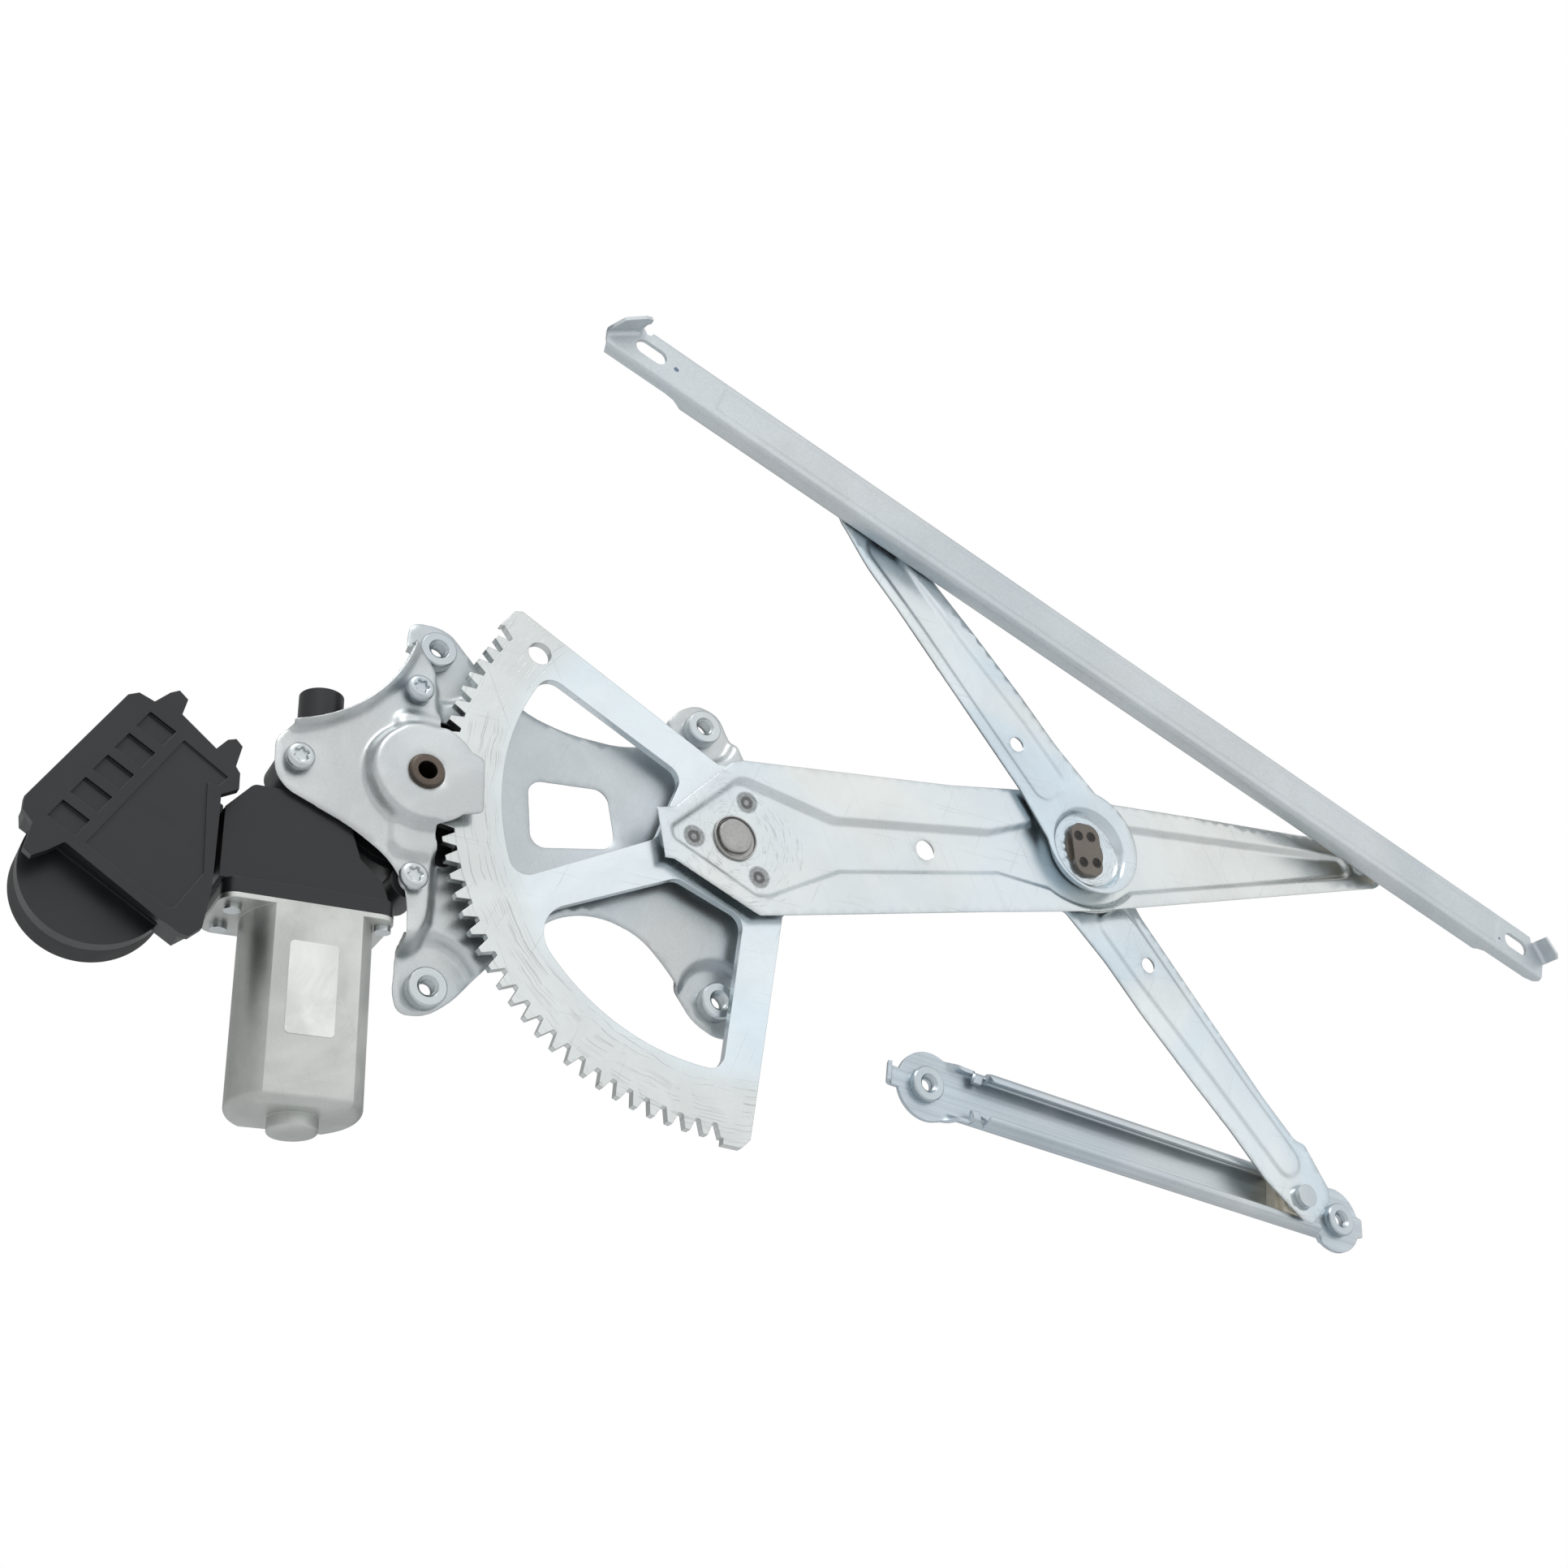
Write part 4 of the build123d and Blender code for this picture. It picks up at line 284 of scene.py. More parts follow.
def plated(name, colour, blue_tint, rough, edge=None, metallic=1.0, swirls=(), spots=(),
           spot_tone=(70, 68, 66), zone=None, **skin):
    """Plated or bare sheet metal: cloudy tone, grain, scratches and rubbed edges.

    Swirls are rings of tool marks (place, near, far, fine), spots are weld or paint marks (place, radius),
    and a zone is another tone outside a radius (place, near, far, colour)."""
    material, tree, shader = blank(name)
    mixed = partial(sums, tree)
    skin_out = placed_group(tree, plated_skin, **skin)
    base = coloured(tree, skin_out["Blue"], tone(*colour), tone(*blue_tint))
    if zone is not None:
        (x, z), near, far, other = zone
        border = placed_group(tree, zone_mask, Centre=(x * MM, 0.0, z * MM), Near=near * MM, Far=far * MM)
        base = coloured(tree, border["Share"], base, tone(*other))
    base = shaded(tree, base, skin_out["Shade"])
    rise = skin_out["Height"]
    gloss = mixed("ADD", skin_out["Gloss"], rough)
    for (x, z), near, far, fine in swirls:
        mark = placed_group(tree, turned_marks, Centre=(x * MM, 0.0, z * MM), Inner=near * MM, Outer=far * MM,
                            Fine=fine)["Mark"]
        base = coloured(tree, mixed("MULTIPLY", mark, 0.34), base, tone(118, 120, 118))
        rise = mixed("MULTIPLY_ADD", mark, -0.5, rise)
    for (x, z), radius in spots:
        burn = placed_group(tree, weld_spot, Centre=(x * MM, 0.0, z * MM), Radius=radius * MM)["Burn"]
        base = coloured(tree, mixed("MULTIPLY", burn, 0.85), base, tone(*spot_tone))
        gloss = mixed("MULTIPLY_ADD", burn, 0.2, gloss)
    shader.inputs["Metallic"].default_value = metallic
    finished(tree, shader, base, gloss, rise, edge, 0.6, 0.35, 0.04)
    return material


def dress(material, *names):
    """Gives solids that are shown as they are their finish."""
    for name in names:
        shown = nodes[name]
        if not shown.material_slots:
            shown.data.materials.append(material)
        for slot in shown.material_slots:
            slot.material = material


def relief_map(points, faces, pitch):
    """The height of the foremost face over a grid of cells, and the corner where the grid starts."""
    low = points[:, (0, 2)].min(axis=0) - 6 * pitch
    high = points[:, (0, 2)].max(axis=0) + 6 * pitch
    wide, tall = np.ceil((high - low) / pitch).astype(int) + 1
    heights = np.full((tall, wide), -1.0)
    for face in faces:
        corner = points[face]
        flat_corner = (corner[:, (0, 2)] - low) / pitch
        x0, y0 = np.floor(flat_corner.min(axis=0)).astype(int)
        x1, y1 = np.ceil(flat_corner.max(axis=0)).astype(int) + 1
        grid_x, grid_y = np.meshgrid(np.arange(x0, x1), np.arange(y0, y1))
        (ax, ay), (bx, by), (cx, cy) = flat_corner
        area = (bx - ax) * (cy - ay) - (cx - ax) * (by - ay)
        if abs(area) < 1e-9:
            continue
        u = ((grid_x - ax) * (cy - ay) - (cx - ax) * (grid_y - ay)) / area
        v = ((bx - ax) * (grid_y - ay) - (grid_x - ax) * (by - ay)) / area
        hit = (u >= -0.001) & (v >= -0.001) & (u + v <= 1.001)
        value = -(corner[0, 1] + u * (corner[1, 1] - corner[0, 1]) + v * (corner[2, 1] - corner[0, 1]))
        window = heights[y0:y1, x0:x1]
        window[hit] = np.maximum(window[hit], value[hit])
    return heights, low


def blurred(field, spread):
    """A field of cells after a soft blur of so many cells."""
    reach = int(3 * spread) + 1
    weights = np.exp(-0.5 * (np.arange(-reach, reach + 1) / spread) ** 2)
    weights /= weights.sum()
    for axis in (0, 1):
        total = np.zeros_like(field)
        for step, weight in zip(range(-reach, reach + 1), weights):
            total += weight * np.roll(field, step, axis=axis)
        field = total
    return field


def softened(heights, spread):
    """The same heights with every step turned into a soft bend, carried a little past the outline."""
    mask = (heights > NOTHING).astype(float)
    share = blurred(mask, spread)
    return np.where(share > 1e-4, blurred(heights * mask, spread) / np.maximum(share, 1e-4), 0.0)


def looked_up(field, low, pitch, spots):
    """Heights at spots, read between the cells of a map."""
    at = (spots - low) / pitch
    cell = np.clip(np.floor(at).astype(int), 0, np.array(field.shape)[::-1] - 2)
    part = np.clip(at - cell, 0.0, 1.0)
    x, y = cell[:, 0], cell[:, 1]
    lower = field[y, x] * (1 - part[:, 0]) + field[y, x + 1] * part[:, 0]
    upper = field[y + 1, x] * (1 - part[:, 0]) + field[y + 1, x + 1] * part[:, 0]
    return lower * (1 - part[:, 1]) + upper * part[:, 1]


def front_faces(node, least=-1.0, most=1.0):
    """The points of a solid and its faces that look forwards, between two heights."""
    mesh = nodes[node].data
    points = np.empty(len(mesh.vertices) * 3)
    mesh.vertices.foreach_get("co", points)
    points = points.reshape(-1, 3)
    mesh.calc_loop_triangles()
    faces = np.empty(len(mesh.loop_triangles) * 3, int)
    mesh.loop_triangles.foreach_get("vertices", faces)
    faces = faces.reshape(-1, 3)
    a, b, c = points[faces[:, 0]], points[faces[:, 1]], points[faces[:, 2]]
    normal = np.cross(b - a, c - a)
    size = np.linalg.norm(normal, axis=1)
    middle = -(a[:, 1] + b[:, 1] + c[:, 1]) / 3
    facing = (normal[:, 1] < -0.2 * size) & (size > 1e-14) & (middle > least) & (middle < most)
    return points, faces[facing]


def outline_edges(points, faces, cell=0.15 * MM):
    """The closed lines round the area that the faces cover, seen from the front."""
    heights, low = relief_map(points, faces, cell)
    field = blurred((heights > NOTHING).astype(float), 1.2) - 0.5
    covered = field > 0
    own = covered[:-1, :-1]
    mixed = np.argwhere((own != covered[:-1, 1:]) | (own != covered[1:, :-1]) | (own != covered[1:, 1:]))
    links, places = {}, {}
    for i, j in mixed.tolist():
        cut = []
        for upright, row, column in ((0, i, j), (1, i, j + 1), (0, i + 1, j), (1, i, j)):
            ahead = (row + upright, column + 1 - upright)
            if covered[row, column] != covered[ahead]:
                part = field[row, column] / (field[row, column] - field[ahead])
                across, along = (column, row + part) if upright else (column + part, row)
                places[upright, row, column] = (low[0] + across * cell, low[1] + along * cell)
                cut.append((upright, row, column))
        for first, second in zip(cut[::2], cut[1::2]):
            links.setdefault(first, []).append(second)
            links.setdefault(second, []).append(first)
    loops, seen = [], set()
    for start in links:
        if start in seen:
            continue
        loop, here = [], start
        while here is not None:
            seen.add(here)
            loop.append(places[here])
            here = next((n for n in links[here] if n not in seen), None)
        shape = thinned(np.array(loop), 0.025 * MM)
        ahead = np.roll(shape, -1, axis=0)
        area = abs(np.sum(shape[:, 0] * ahead[:, 1] - ahead[:, 0] * shape[:, 1])) / 2
        if len(shape) > 3 and area > 2e-6:
            loops.append(shape)
    return loops


def thinned(line, slack):
    """A closed line without the points that add less than a slack."""
    far = int(np.argmax(np.hypot(*(line - line[0]).T)))
    kept, stack = {0, far}, [(0, far), (far, len(line))]
    closed = np.vstack([line, line[:1]])
    while stack:
        first, last = stack.pop()
        if last - first < 2:
            continue
        chord = closed[last] - closed[first]
        span = max(float(np.hypot(*chord)), 1e-9)
        between = closed[first + 1:last] - closed[first]
        off = np.abs(between[:, 0] * chord[1] - between[:, 1] * chord[0]) / span
        at = int(np.argmax(off))
        if off[at] > slack:
            kept.add(first + 1 + at)
            stack += [(first, first + 1 + at), (first + 1 + at, last)]
    return line[sorted(kept)]


def enclosed(spots, starts, ends):
    """Which spots lie inside the outline, by counting the edges to one side."""
    inside_count = np.zeros(len(spots), int)
    for block in range(0, len(spots), 4000):
        x, y = spots[block:block + 4000, 0][:, None], spots[block:block + 4000, 1][:, None]
        y0, y1 = starts[:, 1][None, :], ends[:, 1][None, :]
        crosses = (y0 > y) != (y1 > y)
        rise = np.where(y1 == y0, 1e-12, y1 - y0)
        reach = starts[:, 0][None, :] + (y - y0) * (ends[:, 0] - starts[:, 0])[None, :] / rise
        inside_count[block:block + 4000] = np.sum(crosses & (x < reach), axis=1)
    return inside_count % 2 == 1


def finder(spots):
    """A look-up of how far a spot is from the nearest of a list."""
    tree = KDTree(len(spots))
    for at, spot in enumerate(spots):
        tree.insert((spot[0], spot[1], 0.0), at)
    tree.balance()
    return lambda spot: tree.find((spot[0], spot[1], 0.0))[2]


def filled(loops, fine, coarse, lively, roll=ROLL):
    """An outline filled with points, dense where the sheet is bent, and with a close ring inside its edge."""
    starts, ends = [], []
    for shape in loops:
        for a, b in zip(shape, np.roll(shape, -1, axis=0)):
            length = float(np.hypot(*(b - a)))
            if length < 1e-6:
                continue
            parts = max(1, int(math.ceil(length / (1.3 * fine))))
            for k in range(parts):
                starts.append(a + (b - a) * k / parts)
                ends.append(a + (b - a) * (k + 1) / parts)
    starts, ends = np.array(starts), np.array(ends)
    keys = {(round(p[0] * 1e7), round(p[1] * 1e7)): at for at, p in enumerate(starts)}
    follow = np.array([keys[(round(q[0] * 1e7), round(q[1] * 1e7))] for q in ends])
    along = ends - starts
    along /= np.linalg.norm(along, axis=1)[:, None]
    out_dir = np.column_stack([along[:, 1], -along[:, 0]])
    corner = out_dir.copy()
    corner[follow] += out_dir
    corner /= np.maximum(np.linalg.norm(corner, axis=1), 0.3)[:, None]
    wrong = enclosed(starts + corner * roll * 0.7, starts, ends)
    corner[wrong] *= -1
    ring = starts - corner * roll
    ring = ring[enclosed(ring, starts, ends)]
    low, high = starts.min(axis=0), starts.max(axis=0)
    spots = []
    for spacing, wanted in ((fine, True), (coarse, False)):
        columns = np.arange(low[0], high[0], spacing)
        rows = np.arange(low[1], high[1], spacing * 0.866)
        grid_x, grid_y = np.meshgrid(columns, rows)
        grid_x = grid_x + (np.arange(len(rows)) % 2)[:, None] * spacing / 2
        grid = np.column_stack([grid_x.ravel(), grid_y.ravel()])
        spots.append(grid[lively(grid) == wanted])
    spots = np.vstack(spots)
    spots = spots[enclosed(spots, starts, ends)]
    from_edge = finder(starts)
    clear = [p for p in ring if from_edge(p) > 0.75 * roll]
    kept = [p for p in spots if from_edge(p) > 0.75 * fine + roll]
    flat_points = [Vector(p) for p in (*starts, *clear, *kept)]
    edges = [(at, int(onward)) for at, onward in enumerate(follow)]
    verts, _, tris, _, _, _ = delaunay_2d_cdt(flat_points, edges, [], 0, 1e-7)
    verts = np.array([tuple(v) for v in verts])
    tris = np.array(tris)
    tris = tris[enclosed(verts[tris].mean(axis=1), starts, ends)]
    a, b, c = verts[tris[:, 0]], verts[tris[:, 1]], verts[tris[:, 2]]
    side = (b[:, 0] - a[:, 0]) * (c[:, 1] - a[:, 1]) - (c[:, 0] - a[:, 0]) * (b[:, 1] - a[:, 1])
    tris[side < 0] = tris[side < 0][:, ::-1]
    return verts, tris, np.array([from_edge(p) for p in verts])


def mesh_from(name, shape):
    """A worked shape as a mesh."""
    mesh = bpy.data.meshes.new(name)
    shape.to_mesh(mesh)
    shape.free()
    return mesh


def hung(piece, body, replaced):
    """Hangs a finished piece on its body in place of its solids."""
    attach(piece, body)
    if replaced:
        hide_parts(*replaced)


def gauged(name, shape, thick, body, replaced, material):
    """Cleans a bent face, gives it its gauge behind it and crisp rims, and hangs it on its body."""
    bmesh.ops.dissolve_degenerate(shape, edges=shape.edges, dist=0.03 * MM)
    bmesh.ops.triangulate(shape, faces=shape.faces)
    mesh = mesh_from(name, shape)
    mesh.polygons.foreach_set("use_smooth", [True] * len(mesh.polygons))
    mesh.materials.append(material)
    sheet = placed(name, mesh)
    gauge = sheet.modifiers.new("gauge", "SOLIDIFY")
    gauge.thickness, gauge.offset, gauge.use_even_offset = thick * MM, -1.0, False
    sharp = sheet.modifiers.new("sharp_rim", "EDGE_SPLIT")
    sharp.split_angle = math.radians(50)
    hung(sheet, body, replaced)


def sheet_metal(node, parts, body, material):
    """A pressed sheet from filled outlines and their heights, with rolled edges."""
    shape = bmesh.new()
    for verts, tris, gap, heights in parts:
        drop = np.where(gap < ROLL, 0.8 * ROLL * (1 - gap / ROLL) ** 2, 0.0)
        points = [shape.verts.new((x, -(h - d), y)) for (x, y), h, d in zip(verts, heights, drop)]
        for tri in tris.tolist():
            if len(set(tri)) == 3:
                shape.faces.new([points[at] for at in tri])
    bmesh.ops.remove_doubles(shape, verts=shape.verts, dist=0.02 * MM)
    gauged(node + "_pressing", shape, SHEET, body, [node], material)


PLATE_CELL = 0.4 * MM  # cell of the plate's height map
PLATE_SPLIT = 10.5 * MM  # between the raised motor face and the levels behind it
WALL_FOOT, WALL_HEAD = 6.0 * MM, 12.0 * MM  # the one tall wall starts below and ends above these
WALL_REACH, WALL_FADE = 7.0 * MM, 3.0 * MM  # both levels share one soft bend this near that wall
SEAM = 1.2 * MM  # the edge isn't rolled where the two levels meet
plate_zinc = plated("plate_zinc", (203, 206, 206), (194, 201, 205), 0.38, edge=(150, 150, 146),
                    Cloud=1.0, Grain=0.8, Scratch=0.25, Stain=0.35)
points, upper_faces = front_faces("base_plate", least=PLATE_SPLIT)
points, lower_faces = front_faces("base_plate", most=PLATE_SPLIT)
both, low = relief_map(points, np.vstack([upper_faces, lower_faces]), PLATE_CELL)
both = softened(both, 1.3 * MM / PLATE_CELL)
bend = np.hypot(*np.gradient(both)) / PLATE_CELL
wall_spots = []
for tri in nodes["base_plate"].data.loop_triangles:
    corner = points[list(tri.vertices)]
    normal = np.cross(corner[1] - corner[0], corner[2] - corner[0])
    tall = -corner[:, 1]
    if abs(normal[1]) < 0.2 * np.linalg.norm(normal) and tall.min() < WALL_FOOT and tall.max() > WALL_HEAD:
        wall_spots += [(p[0], p[2]) for p in (corner.mean(axis=0), *corner)]
from_wall = finder(wall_spots)
plate_parts = []
for faces in (upper_faces, lower_faces):
    own, own_low = relief_map(points, faces, PLATE_CELL)
    own = softened(own, 1.0 * MM / PLATE_CELL)
    verts, tris, gap = filled(outline_edges(points, faces), 0.9 * MM, COARSE,
                              lambda spots: looked_up(bend, low, PLATE_CELL, spots) > BENT)
    away = np.array([from_wall(p) for p in verts])
    share = np.clip((WALL_REACH - away) / WALL_FADE, 0.0, 1.0)
    share = share * share * (3 - 2 * share)
    heights = share * looked_up(both, low, PLATE_CELL, verts)
    heights += (1 - share) * looked_up(own, own_low, PLATE_CELL, verts)
    gap = np.where(away < SEAM, np.maximum(gap, 1.0 * MM), gap)
    plate_parts.append((verts, tris, gap, heights))
sheet_metal("base_plate", plate_parts, "base", plate_zinc)


# ---- weld nuts, pivot rivet and motor screws: zinc plated steel, pressed or driven into the plate ----
# The nuts are turned collars with an M6 thread, and the screws have a star recess.
PIVOT = (23.4, -41.3)  # the sector's pivot
nut_zinc = plated("nut_zinc", (205, 210, 211), (190, 200, 205), 0.28, edge=(235, 238, 238),
                  Cloud=0.6, Grain=0.5, Scratch=0.3)


def turned_form(name, rings, steps=48, lobes=6):
    """A turned shape about the Y axis from its rings (radius, height, depth of lobes, shift)."""
    shape = bmesh.new()
    loops = []
    for radius, height, *more in rings:
        lobe, shift = (list(more) + [0.0, 0.0])[:2]
        loop = []
        for k in range(steps):
            angle = 2 * math.pi * k / steps
            reach = radius * (1 - lobe * (0.5 - 0.5 * math.cos(lobes * angle))) * MM
            place = (reach * math.cos(angle) + shift * MM, -height * MM, reach * math.sin(angle))
            loop.append(shape.verts.new(place))
        loops.append(loop)
    for first, second in zip(loops, loops[1:] + loops[:1]):
        for k in range(steps):
            ahead = (k + 1) % steps
            shape.faces.new((first[k], first[ahead], second[ahead], second[k]))
    bmesh.ops.remove_doubles(shape, verts=shape.verts, dist=0.004 * MM)
    bmesh.ops.recalc_face_normals(shape, faces=shape.faces)
    return placed(name, mesh_from(name, shape))


def set_out(name, template, places, body, replaced, material, angle=34):
    """Sets a template out at its places (x, z, turn) with a node tree, and keeps the result as one mesh."""
    tree = bpy.data.node_groups.new(name, "GeometryNodeTree")
    named = {}
    inputs = {"Places": "Geometry", "Size": "Float", "Template": "Object", "Finish": "Material"}
    for label, kind in inputs.items():
        socket = tree.interface.new_socket(label, in_out="INPUT", socket_type="NodeSocket" + kind)
        named[label] = socket.identifier
    tree.interface.new_socket("Set", in_out="OUTPUT", socket_type="NodeSocketGeometry")
    node = partial(made, tree)
    given = node("NodeGroupInput").outputs
    turn = node("GeometryNodeInputNamedAttribute", {"Name": "turn"}, data_type="FLOAT").outputs["Attribute"]
    about = node("ShaderNodeCombineXYZ", {"Y": turn}).outputs[0]
    rotation = node("FunctionNodeEulerToRotation", {0: about}).outputs[0]
    info = node("GeometryNodeObjectInfo", {"Object": given["Template"]}).outputs["Geometry"]
    setting = {"Points": given["Places"], "Instance": info, "Rotation": rotation, "Scale": given["Size"]}
    copies = node("GeometryNodeInstanceOnPoints", setting).outputs[0]
    real = node("GeometryNodeRealizeInstances", {0: copies}).outputs[0]
    coat = node("GeometryNodeSetMaterial", {"Geometry": real, "Material": given["Finish"]}).outputs[0]
    node("NodeGroupOutput", {0: coat})
    points = bpy.data.meshes.new(name + "_places")
    points.from_pydata([(x * MM, 0.0, z * MM) for x, z, _ in places], [], [])
    points.attributes.new("turn", "FLOAT", "POINT").data.foreach_set("value", [t for _, _, t in places])
    carrier = placed(name, points)
    layout = carrier.modifiers.new("layout", "NODES")
    layout.node_group = tree
    for label, value in (("Size", 1.0), ("Template", template), ("Finish", material)):
        layout[named[label]] = value
    mesh = bpy.data.meshes.new_from_object(carrier.evaluated_get(bpy.context.evaluated_depsgraph_get()))
    bpy.data.objects.remove(carrier)
    bpy.data.objects.remove(template)
    mesh.name = name
    mesh.set_sharp_from_angle(angle=math.radians(angle))
    hung(placed(name, mesh), body, replaced)


def collar_nut(back, high):
    """The rings of a weld nut: chamfered collar, mouth and an M6 thread."""
    outer, mouth, pitch = 6.5, 3.5, 0.8
    front = back + high
    rings = [(outer - 0.1, back), (outer, back + 0.2), (outer, front - 0.5), (outer - 0.5, front),
             (mouth + 0.1, front), (mouth, front - 0.1), (3.05, front - 0.75)]
    for k in range(int((high - 0.9) / pitch)):
        top = front - 0.85 - pitch * k
        rings += [(2.55, top - 0.25), (2.55, top - 0.35), (3.0, top - 0.7)]
    return rings + [(2.6, back + 0.05), (2.65, back)]


def plan(x, z, turn=0.0):
    """A place given from the sector pivot, in the part's own frame."""
    return (x + PIVOT[0], z + PIVOT[1], turn)


set_out("weld_nuts", turned_form("weld_nut", collar_nut(2.0, 5.0)),
        [plan(-119.1, 8.7, 0.4), plan(-71.9, -102.6, 1.9), plan(-23.4, 41.3, 2.8), plan(18.5, -54.4, 4.4)],
        "base", ["base_weld_nuts"], nut_zinc)
screw_rings = [
    (0.02, 3.0), (2.3, 3.0), (2.4, 3.2), (2.4, 15.0), (4.4, 15.0), (4.65, 15.2), (4.7, 15.5), (4.55, 16.1),
    (4.1, 16.7), (3.4, 17.1), (2.85, 17.25), (2.7, 17.2, 0.10), (2.6, 17.0, 0.30), (2.5, 16.3, 0.32),
    (2.35, 15.9, 0.32), (1.2, 15.75, 0.2), (0.02, 15.7),
]
set_out("motor_screw_set", turned_form("star_screw", screw_rings),
        [plan(-140.5, -60.0, 0.2), plan(-118.8, -14.9, 0.7), plan(-92.6, -76.5, 0.45)],
        "base", ["motor_screws"], nut_zinc)
staked_steel = plated("staked_steel", (176, 174, 170), (168, 170, 172), 0.36, edge=(214, 214, 210),
                      swirls=[((22.8, PIVOT[1]), 0.3, 7.0, 3000.0)],
                      Cloud=1.0, Grain=1.2, Scratch=0.5, Stain=0.8)
head_rings = [
    (0.02, 6.2), (6.4, 6.2), (6.5, 6.4), (6.5, 15.1), (8.3, 15.1), (8.3, 15.9), (8.15, 16.1), (7.85, 16.1),
    (7.7, 15.9), (7.6, 15.2), (6.75, 15.15, 0.03, -0.5), (6.6, 16.2, 0.03, -0.5), (6.3, 16.7, 0.03, -0.5),
    (5.8, 16.85, 0.02, -0.5), (3.0, 17.0, 0.0, -0.5), (0.02, 17.05, 0.0, -0.5),
]
set_out("staked_pivot", turned_form("pivot_head", head_rings, lobes=5), [plan(0.0, 0.0, 0.5)],
        "base", ["pivot_rivet"], staked_steel)


# ---- gear motor: moulded black housing with its cover, drawn steel can with the magnets and armature ----
# The pinion is sintered steel on the plastic wheel's shaft, with a round sleeve round its hollow end. The can
# is tin plated and carries a bare paper label.
PINION = (-81.15, -84.18)  # the pinion's axis
moulded_skin, given, give = group_of(
    "moulded_skin", {"Grain": 0.5, "Dust": 0.2}, ("Shade", "Gloss", "Height"))
node, calc, cloudy, step, place = tools_for(moulded_skin)
haze = step(cloudy(place, 45.0, 4.0, 0.6, 0.6), 0.35, 0.70)
dust = calc("MULTIPLY", step(cloudy(place, 900.0, 2.0, 0.5), 0.70, 0.78), given["Dust"])
give("Shade", calc("MULTIPLY_ADD", dust, 2.5, calc("MULTIPLY_ADD", calc("SUBTRACT", haze, 0.5), 0.25, 1.0)))
give("Gloss", calc("MULTIPLY_ADD", haze, 0.10, -0.05))
give("Height", calc("MULTIPLY", cloudy(place, 2600.0, 2.0, 0.6), given["Grain"]))


def moulded(name, colour, rough, bump=0.03, edge=None, **skin):
    """Moulded plastic, paper or rubber: fine grain, a little haze and dust, and soft edges."""
    material, tree, shader = blank(name)
    skin_out = placed_group(tree, moulded_skin, **skin)
    base = shaded(tree, tone(*colour), skin_out["Shade"])
    gloss = sums(tree, "ADD", skin_out["Gloss"], rough)
    finished(tree, shader, base, gloss, skin_out["Height"], edge, 0.5, 0.4, bump)
    return material


black_case = moulded("black_case", (27, 28, 31), 0.36, edge=(78, 80, 84), Grain=0.5, Dust=0.15)
can_tin = plated("can_tin", (198, 200, 196), (186, 190, 190), 0.44, edge=(218, 218, 214),
                 Cloud=1.6, Grain=0.6, Scratch=0.3, Stain=1.0)
sintered = plated("sintered", (104, 94, 86), (90, 84, 80), 0.42, edge=(160, 150, 140),
                  Cloud=1.0, Grain=1.6, Scratch=0.2)
dress(black_case, "gear_housing", "gear_cover", "thrust_plug", "brush_holder")
dress(can_tin, "motor_can", "can_bush")
dress(nut_zinc, "can_screws", "armature_shaft")
dress(sintered, "drive_pinion")
sleeve_rings = [(3.1, 17.0), (3.1, 19.2), (3.35, 19.5), (5.1, 19.6), (5.5, 19.35), (5.6, 19.0), (5.6, 17.0)]
set_out("pinion_sleeve", turned_form("sleeve", sleeve_rings), [(*PINION, 0.0)], "drive_gear", [], sintered)
natural = moulded("natural_acetal", (222, 214, 196), 0.38, Grain=0.3, Dust=0.0)
dress(natural, "worm_wheel")
magnet = moulded("ferrite", (62, 62, 66), 0.55, Grain=0.8, Dust=0.1)
dress(magnet, "motor_magnets")
laminated = plated("laminated", (150, 150, 152), (140, 142, 146), 0.45, Cloud=0.5, Grain=0.8, Streak=1.0)
dress(laminated, "armature_core")
copper = plated("copper", (196, 128, 96), (184, 120, 92), 0.32, Cloud=0.6, Grain=0.5)
dress(copper, "commutator")
paper = moulded("label_paper", (228, 229, 226), 0.55, bump=0.01, Grain=0.6, Dust=0.0)
dress(paper, "can_label")


# ---- control unit: a flat black moulded box with a cover, on the housing's shelf ----
# Inside lies a green epoxy board, whose tinned pins stand in the connector's shroud behind a rubber gasket.
dress(black_case, "ecu_case", "ecu_cover")
board = moulded("board_epoxy", (34, 92, 58), 0.4, Grain=0.3, Dust=0.0)
dress(board, "circuit_board")
pins = plated("tinned_pins", (214, 200, 160), (206, 196, 168), 0.25, Cloud=0.3, Grain=0.3)
dress(pins, "connector_pins")
rubber = moulded("gasket_rubber", (24, 24, 26), 0.62, Grain=0.8, Dust=0.2)
dress(rubber, "connector_gasket")


# ---- sector gear: 3 mm steel, blanked with its two windows and bright zinc plated ----
# The toothed rim is rubbed by the pinion, and its face carries the turned marks of the shaving tool.
sector_zinc = plated("sector_zinc", (216, 228, 235), (222, 230, 233), 0.26, edge=(150, 146, 138),
                     swirls=[(PIVOT, 87.0, 109.0, 2900.0)], zone=(PIVOT, 80.0, 92.0, (214, 218, 217)),
                     Cloud=0.6, Grain=0.3, Scratch=0.7, Stain=0.25)
dress(sector_zinc, "sector_gear")


# ---- lift arm and equalizer arms: 2 mm pressings with beads, rims and a dished hub, bright zinc plated ----
# The lift arm is spot welded to the sector at three places. A keyed sintered pivot with four punch marks
# joins the two half arms through it, and steel pins with acetal sliders end the arms.
CROSS = (157.7, 40.0)  # the pivot where the arms cross
WELD_RING = 16.0  # the welds' distance from the sector's pivot
PUNCH_RING = 6.4


def around(centre, radius, angle):
    """A place at a distance from a centre, at an angle in degrees."""
    turn = math.radians(angle)
    return (centre[0] + radius * math.cos(turn), centre[1] + radius * math.sin(turn))


